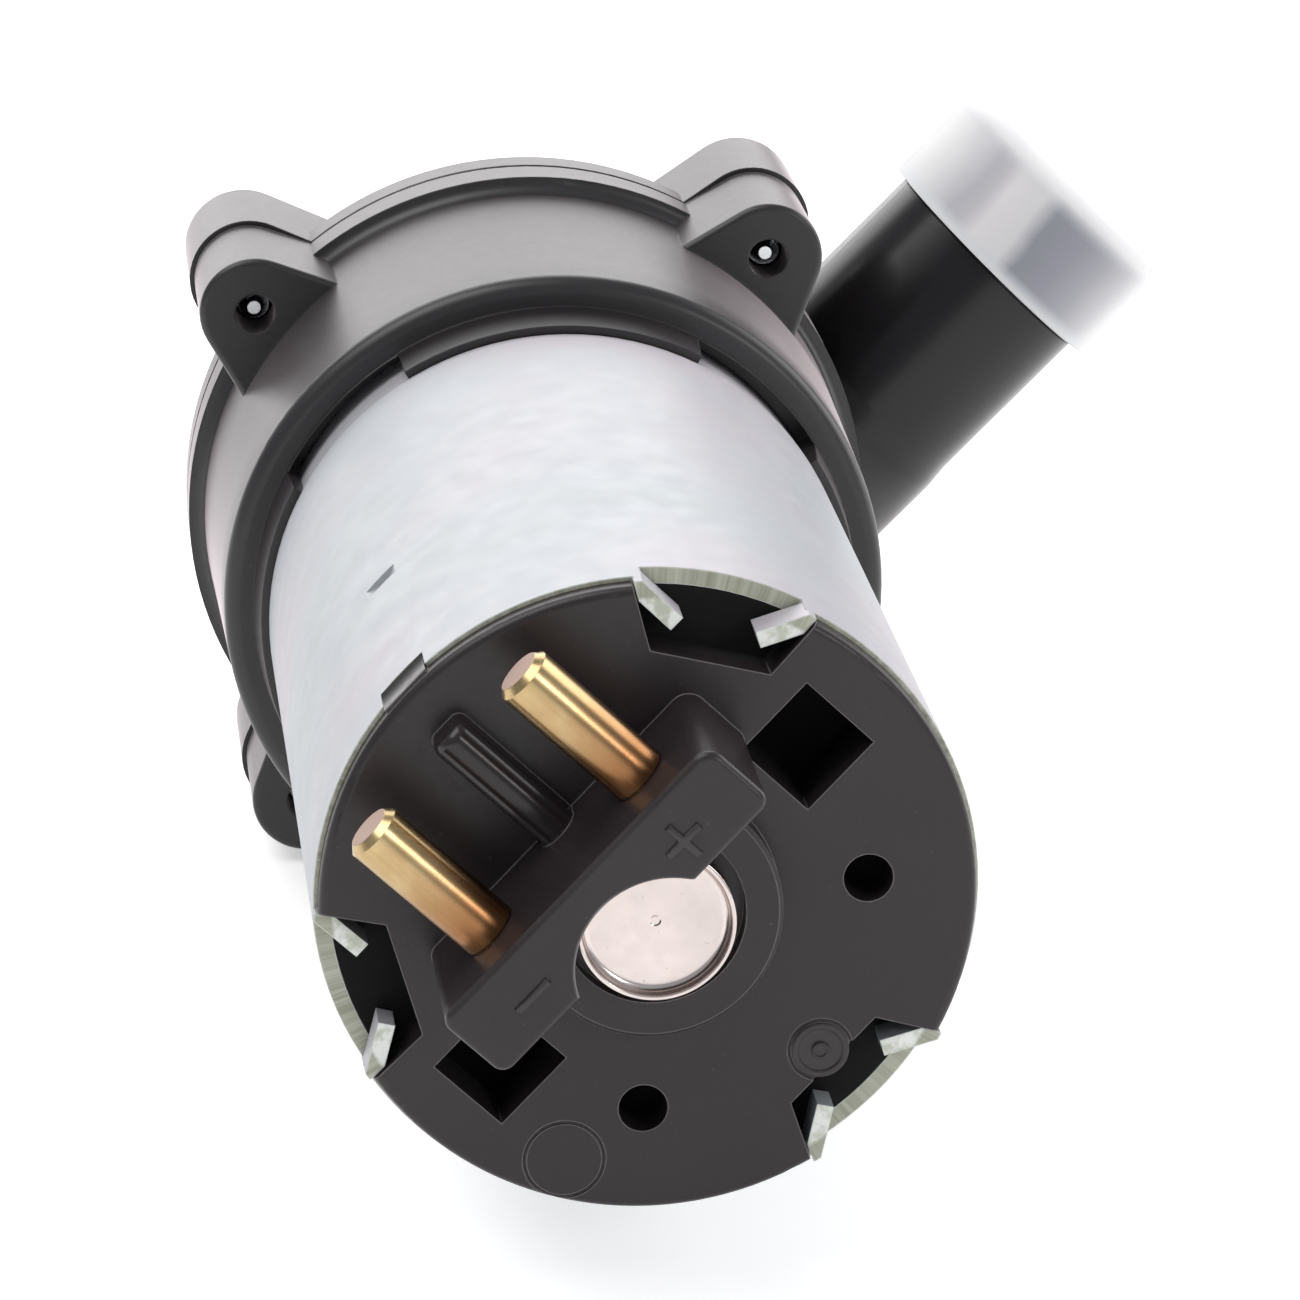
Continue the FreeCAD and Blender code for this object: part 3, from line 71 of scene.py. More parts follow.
# Turns about the motor's axis: the terminal block's length, and the four cover screws
TERMINAL_ANGLE = math.radians(46.4)
SCREW_ANGLES = [math.radians(49.7 + 90 * k) for k in range(4)]
# The outlet spigot points this way, and its axis passes the motor's axis on the side of OUTLET_SIDE
OUTLET_WAY = (math.sqrt(0.5), 0, math.sqrt(0.5))
OUTLET_SIDE = (math.sqrt(0.5), 0, -math.sqrt(0.5))
# Directions along the motor's axis: into the pump at its end cap, and out of it
INWARDS = (0, 1, 0)
OUTWARDS = (0, -1, 0)


def mm(value):
    return value * 0.001


def at(depth):
    """Y, in metres, of a depth behind the end cap's face."""
    return mm(depth - ORIGIN_DEPTH)


def terminal_point(u, depth, v):
    """Point given along and across the terminal block, in metres."""
    c, s = math.cos(TERMINAL_ANGLE), math.sin(TERMINAL_ANGLE)
    return Vector((mm(u * c - v * s), at(depth), mm(u * s + v * c)))


def rgba(colour):
    """Four numbers from a colour of three, or from a grey."""
    return (*colour, 1) if hasattr(colour, "__len__") else (colour, colour, colour, 1)


class PumpColours(bpy.types.PropertyGroup):
    """Base colours of the finishes that show"""

    zinc: bpy.props.FloatVectorProperty(
        name="Zinc plating", description="Colour of the motor can's plating",
        subtype="COLOR", size=3, min=0, max=1, default=(0.465, 0.475, 0.50))
    cap_plastic: bpy.props.FloatVectorProperty(
        name="End cap plastic", description="Colour of the moulded end cap",
        subtype="COLOR", size=3, min=0, max=1, default=(0.024, 0.0185, 0.020))
    head_plastic: bpy.props.FloatVectorProperty(
        name="Pump head plastic", description="Colour of the pump housing and the volute cover",
        subtype="COLOR", size=3, min=0, max=1, default=(0.014, 0.012, 0.013))
    pin_metal: bpy.props.FloatVectorProperty(
        name="Pin metal", description="Colour of the two terminal pins",
        subtype="COLOR", size=3, min=0, max=1, default=(0.50, 0.365, 0.185))
    cup_metal: bpy.props.FloatVectorProperty(
        name="Bearing cap metal", description="Colour of the pressed bearing cap",
        subtype="COLOR", size=3, min=0, max=1, default=(0.68, 0.60, 0.57))
    transport_cap: bpy.props.FloatVectorProperty(
        name="Transport cap", description="Tint of the translucent outlet cap",
        subtype="COLOR", size=3, min=0, max=1, default=(0.93, 0.95, 0.98))


class PumpSizes(bpy.types.PropertyGroup):
    """Sizes of the pieces that are added to the CAD model"""

    mark_length: bpy.props.FloatProperty(
        name="Mark length", description="Length of a bar of the polarity marks",
        subtype="DISTANCE", unit="LENGTH", default=mm(3.0))
    mark_width: bpy.props.FloatProperty(
        name="Mark width", description="Width of a bar of the polarity marks",
        subtype="DISTANCE", unit="LENGTH", default=mm(0.55))
    mark_height: bpy.props.FloatProperty(
        name="Mark height", description="How far the polarity marks stand up",
        subtype="DISTANCE", unit="LENGTH", default=mm(0.22))
    head_recess: bpy.props.FloatProperty(
        name="Screw recess", description="Radius of the lobed recess in a screw head",
        subtype="DISTANCE", unit="LENGTH", default=mm(1.75))
    spring_wire: bpy.props.FloatProperty(
        name="Spring wire", description="Radius of the brush springs' wire",
        subtype="DISTANCE", unit="LENGTH", default=mm(0.22))


class Surface:
    """A material being built: its node tree, its shader and short ways to add nodes."""

    def __init__(self, name):
        self.material = bpy.data.materials.new(name)
        self.material.use_nodes = True
        self.tree = self.material.node_tree
        self.shader = self.tree.nodes["Principled BSDF"]
        self.where = self.add("ShaderNodeTexCoord").outputs["Object"]

    def add(self, kind, **settings):
        node = self.tree.nodes.new(kind)
        for key, value in settings.items():
            setattr(node, key, value)
        return node

    def link(self, source, target):
        self.tree.links.new(source, target)

    def feed(self, target, value):
        """Links a socket to an input, or sets the input to a plain value, colour or grey."""
        if isinstance(value, bpy.types.NodeSocket):
            self.link(value, target)
        else:
            target.default_value = rgba(value) if target.type == "RGBA" else value

    def set(self, **inputs):
        """Feeds the shader's inputs, with _ for the spaces in their names."""
        for key, value in inputs.items():
            self.feed(self.shader.inputs[key.replace("_", " ")], value)

    def stretched(self, scale, turn=(0, 0, 0)):
        """Object coordinates turned, then stretched for streaks."""
        turned = self.add("ShaderNodeMapping")
        turned.inputs["Rotation"].default_value = turn
        self.link(self.where, turned.inputs["Vector"])
        scaled = self.add("ShaderNodeMapping")
        scaled.inputs["Scale"].default_value = scale
        self.link(turned.outputs["Vector"], scaled.inputs["Vector"])
        return scaled.outputs["Vector"]

    def noise(self, scale, detail=4.0, roughness=0.55, vector=None):
        node = self.add("ShaderNodeTexNoise")
        node.inputs["Scale"].default_value = scale
        node.inputs["Detail"].default_value = detail
        node.inputs["Roughness"].default_value = roughness
        self.link(vector or self.where, node.inputs["Vector"])
        return node.outputs["Fac"]

    def ramp(self, factor, stops):
        """Colour ramp from (position, colour or grey) stops."""
        node = self.add("ShaderNodeValToRGB")
        marks = node.color_ramp.elements
        while len(marks) < len(stops):
            marks.new(0.5)
        for mark, (place, colour) in zip(marks, stops):
            mark.position = place
            mark.color = rgba(colour)
        self.link(factor, node.inputs["Fac"])
        return node.outputs["Color"]

    def mix(self, factor, first, second):
        """Mix of two colours; each is a socket, a plain colour or a grey."""
        node = self.add("ShaderNodeMix", data_type="RGBA")
        colours = [socket for socket in node.inputs if socket.type == "RGBA"]
        for socket, value in zip([node.inputs[0]] + colours, (factor, first, second)):
            self.feed(socket, value)
        return [socket for socket in node.outputs if socket.type == "RGBA"][0]

    def bumps(self, *layers, edge=0.0):
        """Stacks (height, strength, distance in mm) layers of bump over edges rounded by edge mm."""
        below = None
        if edge:
            rounding = self.add("ShaderNodeBevel", samples=4)
            rounding.inputs["Radius"].default_value = mm(edge)
            below = rounding.outputs["Normal"]
        for height, strength, distance in layers:
            node = self.add("ShaderNodeBump")
            node.inputs["Strength"].default_value = strength
            node.inputs["Distance"].default_value = mm(distance)
            self.link(height, node.inputs["Height"])
            if below is not None:
                self.link(below, node.inputs["Normal"])
            below = node.outputs["Normal"]
        self.set(Normal=below)

    def worn_and_lit(self, width):
        """1 on edges and in corners, over width mm, and 0 on open faces."""
        rounding = self.add("ShaderNodeBevel", samples=6)
        rounding.inputs["Radius"].default_value = mm(width)
        plain = self.add("ShaderNodeNewGeometry").outputs["Normal"]
        return self.spread(self.dot(rounding.outputs["Normal"], plain), 0.995, 0.90)

    def from_axis(self):
        """The place on the object with its depth left out."""
        flat = self.add("ShaderNodeVectorMath", operation="MULTIPLY")
        flat.inputs[1].default_value = (1, 0, 1)
        self.link(self.where, flat.inputs[0])
        return flat.outputs["Vector"]

    def radius(self):
        """Distance from the motor's axis."""
        length = self.add("ShaderNodeVectorMath", operation="LENGTH")
        self.link(self.from_axis(), length.inputs[0])
        return length.outputs["Value"]

    def bearing(self):
        """Same value along each ray out of the axis, for radial streaks."""
        ray = self.add("ShaderNodeVectorMath", operation="NORMALIZE")
        self.link(self.from_axis(), ray.inputs[0])
        return ray.outputs["Vector"]

    def spread(self, value, low, high):
        """0 at low and 1 at high, whichever is larger."""
        node = self.add("ShaderNodeMapRange")
        node.inputs["From Min"].default_value = low
        node.inputs["From Max"].default_value = high
        self.link(value, node.inputs["Value"])
        return node.outputs["Result"]

    def dot(self, vector, axis):
        """Share of a vector along an axis, or its likeness to another vector."""
        node = self.add("ShaderNodeVectorMath", operation="DOT_PRODUCT")
        self.link(vector, node.inputs[0])
        self.feed(node.inputs[1], axis)
        return node.outputs["Value"]

    def along(self, axis, low, high):
        """0 to 1 as the place on the object goes from low to high mm along an axis."""
        return self.spread(self.dot(self.where, axis), mm(low), mm(high))

    def deep(self, low, high):
        """0 to 1 as the depth behind the end cap's face goes from low to high mm."""
        return self.spread(self.dot(self.where, INWARDS), at(low), at(high))

    def calculate(self, operation, first, *others):
        """Math node on a socket and on further sockets or plain numbers."""
        node = self.add("ShaderNodeMath", operation=operation)
        for socket, value in zip(node.inputs, (first,) + others):
            self.feed(socket, value)
        return node.outputs[0]

    def moulded(self, colour, grain):
        """Flow marks, fine grain and the faintly clouded colour of moulded plastic."""
        flow = self.noise(55, 5, 0.6)
        fine = self.noise(grain, 3, 0.6)
        return flow, fine, self.ramp(flow, [(0.3, shaded(colour, 0.86)), (0.7, shaded(colour, 1.18))])

    def dusted(self, base, colour):
        """A base colour with paler specks of the plastic's colour."""
        dust = self.ramp(self.noise(2600, 1, 0.4), [(0.74, 0.0), (0.80, 1.0)])
        return self.mix(dust, base, shaded(colour, 2.2))

    def both(self, first, second):
        """1 where two masks are 1."""
        return self.calculate("MULTIPLY", first, second)

    def seen(self):
        """1 for what the eye, a mirror or glass sees, 0 for the light on the object."""
        path = self.add("ShaderNodeLightPath").outputs
        either = self.calculate("MAXIMUM", path["Is Camera Ray"], path["Is Glossy Ray"])
        return self.calculate("MAXIMUM", either, path["Is Transmission Ray"])

    def facing(self, axis, low, high):
        """0 to 1 as the surface turns towards an axis of the object."""
        normal = self.add("ShaderNodeTexCoord").outputs["Normal"]
        return self.spread(self.dot(normal, axis), low, high)


def shaded(colour, amount):
    """A colour made darker or lighter."""
    return tuple(max(0.0, min(1.0, c * amount)) for c in colour)


def grained_plastic(name, colour, roughness, grain, depth, vary=0.06):
    """Surface of moulded plastic: fine grain, depth mm high, over faint flow marks."""
    s = Surface(name)
    flow, fine, base = s.moulded(colour, grain)
    s.set(Base_Color=s.dusted(base, colour),
          Roughness=s.ramp(fine, [(0.3, roughness - vary), (0.7, roughness + vary)]), Specular_IOR_Level=0.5)
    s.bumps((fine, 0.25, depth), (flow, 0.12, depth * 4), edge=0.25)
    return s


def brushed_metal(name, colour, roughness, stretch, depth=0.01):
    """Drawn or ground metal with fine lines along one way."""
    s = Surface(name)
    lines = s.noise(1.0, 4, 0.6, s.stretched(stretch))
    patches = s.noise(70, 4, 0.5)
    base = s.ramp(patches, [(0.3, shaded(colour, 0.88)), (0.7, shaded(colour, 1.08))])
    dark_lines = s.ramp(lines, [(0.35, 0.0), (0.75, 0.35)])
    s.set(Base_Color=s.mix(dark_lines, base, shaded(colour, 0.7)),
          Roughness=s.ramp(lines, [(0.3, roughness), (0.7, roughness + 0.14)]), Metallic=1.0)
    s.bumps((lines, 0.3, depth), edge=0.1)
    return s.material


def cast_grey(name, colour, roughness, grain, metallic=0.0):
    """Sintered, stacked or pressed dark stuff with visible grain."""
    s = Surface(name)
    fine = s.noise(grain, 5, 0.65)
    s.set(Base_Color=s.ramp(fine, [(0.3, shaded(colour, 0.75)), (0.7, shaded(colour, 1.25))]),
          Roughness=s.ramp(fine, [(0.3, roughness - 0.08), (0.7, roughness + 0.08)]), Metallic=metallic)
    s.bumps((fine, 0.4, 0.03))
    return s.material


def dress(name, material):
    """Gives a CAD node its material."""
    node = NODES[name]
    node.data.materials.clear()
    node.data.materials.append(material)


def select_only(*objects):
    """Object mode with just these objects selected, the first one active."""
    if bpy.context.object and bpy.context.object.mode != "OBJECT":
        bpy.ops.object.mode_set(mode="OBJECT")
    bpy.ops.object.select_all(action="DESELECT")
    for item in objects:
        item.select_set(True)
    if objects:
        bpy.context.view_layer.objects.active = objects[0]


def new_piece(name):
    """Names the primitive that was just added."""
    piece = bpy.context.object
    piece.name = name
    piece.data.name = name
    return piece


def pick(piece, kind, test):
    """Edit mode with only the faces, edges or vertices chosen whose place and normal pass the test."""
    bpy.ops.object.mode_set(mode="OBJECT")
    mesh = piece.data
    for group in (mesh.polygons, mesh.edges, mesh.vertices):
        group.foreach_set("select", [False] * len(group))
    if kind == "FACE":
        for face in mesh.polygons:
            face.select = test(face.center, face.normal)
    elif kind == "EDGE":
        for edge in mesh.edges:
            a, b = (mesh.vertices[i].co for i in edge.vertices)
            edge.select = test(a, b)
    else:
        for vertex in mesh.vertices:
            vertex.select = test(vertex.co)
    bpy.ops.object.mode_set(mode="EDIT")
    bpy.ops.mesh.select_mode(type={"FACE": "FACE", "EDGE": "EDGE", "VERT": "VERT"}[kind])


def seat(piece, origin, along, outwards):
    """Moves a finished piece from its own axes to its place on the pump."""
    bpy.ops.object.mode_set(mode="OBJECT")
    select_only(piece)
    x = Vector(along).normalized()
    z = Vector(outwards).normalized()
    y = z.cross(x)
    turn = Matrix((x, y, z)).transposed().to_4x4()
    piece.matrix_world = Matrix.Translation(origin) @ turn
    bpy.ops.object.transform_apply(location=True, rotation=True, scale=True)


def smooth(piece, angle):
    """Smooth shading across edges of up to so many degrees."""
    select_only(piece)
    bpy.ops.object.shade_smooth_by_angle(angle=math.radians(angle))


def own(piece, body, material, stands_for=None):
    """What every new piece needs before it is finished."""
    piece.data.materials.clear()
    piece.data.materials.append(material)
    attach(piece, body)
    if stands_for:
        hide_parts(stands_for)


def copy_of(piece, name):
    """Copy of a piece with a mesh of its own."""
    select_only(piece)
    bpy.ops.object.duplicate(linked=False)
    return new_piece(name)


def close_tube(piece):
    """Fills the open ends of a swept tube and turns its faces outwards."""
    select_only(piece)
    bpy.ops.object.mode_set(mode="EDIT")
    bpy.ops.mesh.select_mode(type="EDGE")
    bpy.ops.mesh.select_all(action="DESELECT")
    bpy.ops.mesh.select_non_manifold(extend=False, use_wire=False, use_multi_face=False, use_non_contiguous=False,
                                     use_verts=False)
    bpy.ops.mesh.edge_face_add()
    bpy.ops.mesh.fill_holes(sides=0)
    bpy.ops.mesh.select_all(action="SELECT")
    bpy.ops.mesh.normals_make_consistent(inside=False)
    bpy.ops.object.mode_set(mode="OBJECT")


def helix(name, sides, wire, outer_radius, foot, pitch, turns, steps):
    """Wire of so many sides wound about the Z axis, its first turn starting at the height foot."""
    select_only()
    bpy.ops.mesh.primitive_circle_add(vertices=sides, radius=wire, fill_type="NOTHING", location=(0, 0, 0))
    tube = new_piece(name)
    bpy.ops.object.mode_set(mode="EDIT")
    bpy.ops.mesh.select_all(action="SELECT")
    bpy.ops.transform.rotate(value=math.radians(90), orient_axis="X", center_override=(0, 0, 0))
    bpy.ops.object.mode_set(mode="OBJECT")
    reach = max(v.co.xy.length for v in tube.data.vertices)
    pick(tube, "VERT", lambda p: True)
    bpy.ops.transform.translate(value=(outer_radius - reach, 0, foot))
    bpy.ops.object.mode_set(mode="OBJECT")
    sweep = tube.modifiers.new("winding", "SCREW")
    sweep.angle = math.radians(360)
    sweep.screw_offset = pitch
    sweep.iterations = turns
    sweep.steps = steps
    sweep.render_steps = steps
    select_only(tube)
    bpy.ops.object.modifier_apply(modifier=sweep.name)
    close_tube(tube)
    return tube


def block_axes():
    """Directions along and across the terminal block, and out of the end cap."""
    along = (math.cos(TERMINAL_ANGLE), 0, math.sin(TERMINAL_ANGLE))
    across = (-math.sin(TERMINAL_ANGLE), 0, math.cos(TERMINAL_ANGLE))
    return Vector(along), Vector(across), Vector(OUTWARDS)


class PUMP_OT_motor_can(bpy.types.Operator):
    """Zinc plating on the drawn motor can"""
    bl_idname = "pump.motor_can"
    bl_label = "Motor can"

    cool_zinc = (0.44, 0.47, 0.485)
    warm_zinc = (0.49, 0.46, 0.495)
    green_stain = (0.60, 0.69, 0.60)
    scuffed_zinc = (0.52, 0.56, 0.57)
    sheared_steel = ((0.29, 0.30, 0.22), (0.56, 0.57, 0.47))
    ear_steel_and_highlights = ((0.56, 0.59, 0.49), (0.86, 0.88, 0.84))
    edge_steel_and_highlight = (0.80, 0.83, 0.78)
    # Depths between which the cut edges end, and radii between which the rim gives way to the ears
    cut_end = (8.0, 6.0)
    ear_start = (21.9, 21.6)

    def execute(self, context):
        colour = tuple(context.scene.pump_colours.zinc)
        s = Surface("zinc_plating")
        clouds = s.noise(38, 3, 0.5)
        stains = s.noise(95, 5, 0.6)
        spangle = s.noise(420, 4, 0.55)
        drawn = s.noise(1.0, 3, 0.6, s.stretched((520, 30, 520)))
        base = s.ramp(clouds, [(0.36, self.cool_zinc), (0.5, colour), (0.64, self.warm_zinc)])
        green = s.ramp(stains, [(0.62, 0.0), (0.78, 0.35)])
        base = s.mix(green, base, self.green_stain)
        scuffs = s.ramp(s.noise(210, 6, 0.7, s.stretched((1, 0.5, 1))), [(0.70, 0.0), (0.74, 0.5)])
        base = s.mix(scuffs, base, self.scuffed_zinc)
        # The cut edge of the rim and the ears has no plating left on it
        cut = s.both(s.facing(OUTWARDS, 0.85, 0.95), s.deep(*self.cut_end))
        streaks = s.noise(34, 5, 0.65, s.bearing())
        strip = s.ramp(streaks, list(zip((0.34, 0.66), self.sheared_steel)))
        # The ears are mottled from dull steel to near white: partly bare steel, partly painted highlights
        ear = s.ramp(s.noise(900, 4, 0.6), list(zip((0.38, 0.56), self.ear_steel_and_highlights)))
        on_ear = s.spread(s.radius(), *(mm(radius) for radius in self.ear_start))
        # Their edges are lighter still: partly bare steel, partly a painted highlight along the edges
        sheared_and_lit = s.mix(s.worn_and_lit(0.18), s.mix(on_ear, strip, ear), self.edge_steel_and_highlight)
        s.set(Base_Color=s.mix(cut, base, sheared_and_lit), Roughness=s.ramp(spangle, [(0.3, 0.42), (0.7, 0.54)]),
              Metallic=0.18)
        s.bumps((spangle, 0.05, 0.02), (drawn, 0.05, 0.02), (stains, 0.03, 0.05), edge=0.15)
        dress("motor_can", s.material)
        return {"FINISHED"}


class PUMP_OT_end_cap(bpy.types.Operator):
    """Fine-grained black moulding of the end cap"""
    bl_idname = "pump.end_cap"
    bl_label = "End cap"

    worn_and_lit_edge = (0.25, 0.225, 0.23)
    rubbed_and_lit_edge = (0.30, 0.275, 0.28)
    shadow = (0.002, 0.002, 0.002)
    # Depths, and places along and across the block, between which each of these starts
    block_front = (-10.5, -12.0)
    hole_walls = (1.2, 3.2)
    rib_sides = (-3.6, -3.2)
    rib_root = (9.1, 9.3)
    rib_foot = (-0.1, -0.5)

    def execute(self, context):
        colour = tuple(context.scene.pump_colours.cap_plastic)
        s = Surface("end_cap_plastic")
        flow, fine, base = s.moulded(colour, 1500)
        # Lighter edges all over the cap: partly wear, partly a painted highlight along the edges
        base = s.mix(s.worn_and_lit(0.16), s.dusted(base, colour), self.worn_and_lit_edge)
        # The front edges of the terminal block are rubbed light here and there: partly wear, partly a painted
        # highlight along the edges
        front = s.both(s.worn_and_lit(0.34), s.deep(*self.block_front))
        patchy = s.ramp(s.noise(190, 5, 0.7), [(0.38, 0.15), (0.58, 1.0)])
        base = s.mix(s.both(front, patchy), base, self.rubbed_and_lit_edge)
        # Painted shade: the insides of the windows and holes are painted black, for the shade deep in them
        inside = s.deep(*self.hole_walls)
        s.set(Base_Color=s.mix(inside, base, self.shadow))
        # The rib between the pins is polished
        along, across, _ = block_axes()
        rib = s.both(s.along(along, *self.rib_sides), s.along(-along, *self.rib_sides))
        rib = s.both(s.both(rib, s.along(across, *self.rib_root)), s.deep(*self.rib_foot))
        gloss = s.mix(rib, s.ramp(fine, [(0.3, 0.28), (0.7, 0.37)]), 0.17)
        s.set(Roughness=s.mix(inside, gloss, 0.9), Specular_IOR_Level=0.36)
        s.bumps((fine, 0.20, 0.012), (flow, 0.12, 0.06), edge=0.2)
        dress("end_cap", s.material)
        return {"FINISHED"}


class PUMP_OT_polarity_marks(bpy.types.Operator):
    """Raised plus and minus signs on the terminal block"""
    bl_idname = "pump.polarity_marks"
    bl_label = "Polarity marks"

    # Name, place along the block and number of arms of each sign
    signs = (("plus_mark", 7.1, 4), ("minus_mark", -7.5, 2))
    # Place across the block, and a depth just under its face
    across_block = 5.5
    foot_depth = -12.45

    def execute(self, context):
        sizes = context.scene.pump_sizes
        colour = tuple(context.scene.pump_colours.cap_plastic)
        material = grained_plastic("mark_plastic", colour, 0.34, 1500, 0.01).material
        along, _, out = block_axes()
        for name, u, arms in self.signs:
            select_only()
            half = sizes.mark_width / 2
            bpy.ops.mesh.primitive_cube_add(size=sizes.mark_width, location=(0, 0, 0))
            piece = new_piece(name)
            reach = (sizes.mark_length - sizes.mark_width) / 2
            for way in [(1, 0), (-1, 0), (0, 1), (0, -1)][:arms]:
                # The side of the first cube that looks this way
                pick(piece, "FACE", lambda c, n: n.x * way[0] + n.y * way[1] > 0.9 and
                     abs(c.x * way[0] + c.y * way[1] - half) < half * 0.1 and
                     abs(c.x * way[1] + c.y * way[0]) < half * 0.1)
                move = (way[0] * reach, way[1] * reach, 0)
                bpy.ops.mesh.extrude_region_move(TRANSFORM_OT_translate={"value": move})
            pick(piece, "VERT", lambda p: p.z > 0)
            bpy.ops.transform.translate(value=(0, 0, sizes.mark_height - half))
            pick(piece, "EDGE", lambda a, b: min(a.z, b.z) > 0 and not self.in_middle(a, b, half))
            bpy.ops.mesh.bevel(offset=sizes.mark_height * 0.45, segments=2)
            seat(piece, terminal_point(u, self.foot_depth, self.across_block), along, out)
            smooth(piece, 50)
            own(piece, "pump", material)
        return {"FINISHED"}

    def in_middle(self, a, b, half):
        """Whether both ends of a top edge are corners of the square where the arms meet."""
        return all(abs(abs(value) - half) < half * 0.1 for value in (a.x, a.y, b.x, b.y))


class PUMP_OT_gate_mark(bpy.types.Operator):
    """Moulded ring with its broken-off gate in the middle"""
    bl_idname = "pump.gate_mark"
    bl_label = "Gate mark"

    radius = 2.0
    thickness = 0.3
    ring_width = 0.45
    ring_height = 0.12
    land_width = 0.95
    stub_height = 0.22
    stub_edge = 0.15
    stub_hollow = 0.08
    ring_round = 0.06
    across_block = -16.4
    middle_depth = -0.02

    def execute(self, context):
        colour = tuple(context.scene.pump_colours.cap_plastic)
        material = grained_plastic("gate_plastic", colour, 0.42, 1500, 0.02).material
        along, _, out = block_axes()
        select_only()
        bpy.ops.mesh.primitive_cylinder_add(vertices=64, radius=mm(self.radius), depth=mm(self.thickness),
                                            location=(0, 0, 0))
        piece = new_piece("gate_mark")
        top = mm(self.thickness / 2)
        pick(piece, "FACE", lambda c, n: n.z > 0.9)
        steps = ((self.ring_width, -self.ring_height), (self.land_width, self.stub_height),
                 (self.stub_edge, -self.stub_hollow))
        for width, rise in steps:
            bpy.ops.mesh.inset(thickness=mm(width))
            bpy.ops.mesh.extrude_region_move(TRANSFORM_OT_translate={"value": (0, 0, mm(rise))})
        pick(piece, "EDGE", lambda a, b: abs(a.z - top) < mm(0.01) and abs(b.z - top) < mm(0.01) and
             abs(a.xy.length - b.xy.length) < mm(0.01))
        bpy.ops.mesh.bevel(offset=mm(self.ring_round), segments=2)
        seat(piece, terminal_point(0, self.middle_depth, self.across_block), along, out)
        smooth(piece, 40)
        own(piece, "pump", material)
        return {"FINISHED"}


class PUMP_OT_terminal_pins(bpy.types.Operator):
    """Turned brass of the two terminal pins"""
    bl_idname = "pump.terminal_pins"
    bl_label = "Terminal pins"

    pale_brass = (0.60, 0.49, 0.27)
    root_copper = (0.28, 0.135, 0.058)
    cut_copper = (0.40, 0.28, 0.23)
    # Places across the block between which the brass goes to copper brown
    root_fade = (19.0, 11.0)

    def execute(self, context):
        colour = tuple(context.scene.pump_colours.pin_metal)
        s = Surface("pin_brass")
        lengthwise = s.noise(1.0, 4, 0.6, s.stretched((1400, 1400, 60), (0, TERMINAL_ANGLE, 0)))
        patches = s.noise(260, 4, 0.6)
        base = s.ramp(patches, [(0.34, shaded(colour, 0.88)), (0.5, colour), (0.72, self.pale_brass)])
        base = s.mix(s.ramp(lengthwise, [(0.5, 0.0), (0.75, 0.30)]), base, shaded(colour, 0.6))
        across = block_axes()[1]
        base = s.mix(s.along(across, *self.root_fade), base, self.root_copper)
        ends = s.facing(across, 0.9, 0.97)
        s.set(Base_Color=s.mix(ends, base, self.cut_copper))
        drawn = s.ramp(lengthwise, [(0.3, 0.20), (0.7, 0.32)])
        s.set(Roughness=s.mix(ends, drawn, 0.55), Metallic=1.0)
        s.bumps((lengthwise, 0.25, 0.01), (patches, 0.15, 0.02), edge=0.1)
        dress("terminal_pins", s.material)
        return {"FINISHED"}


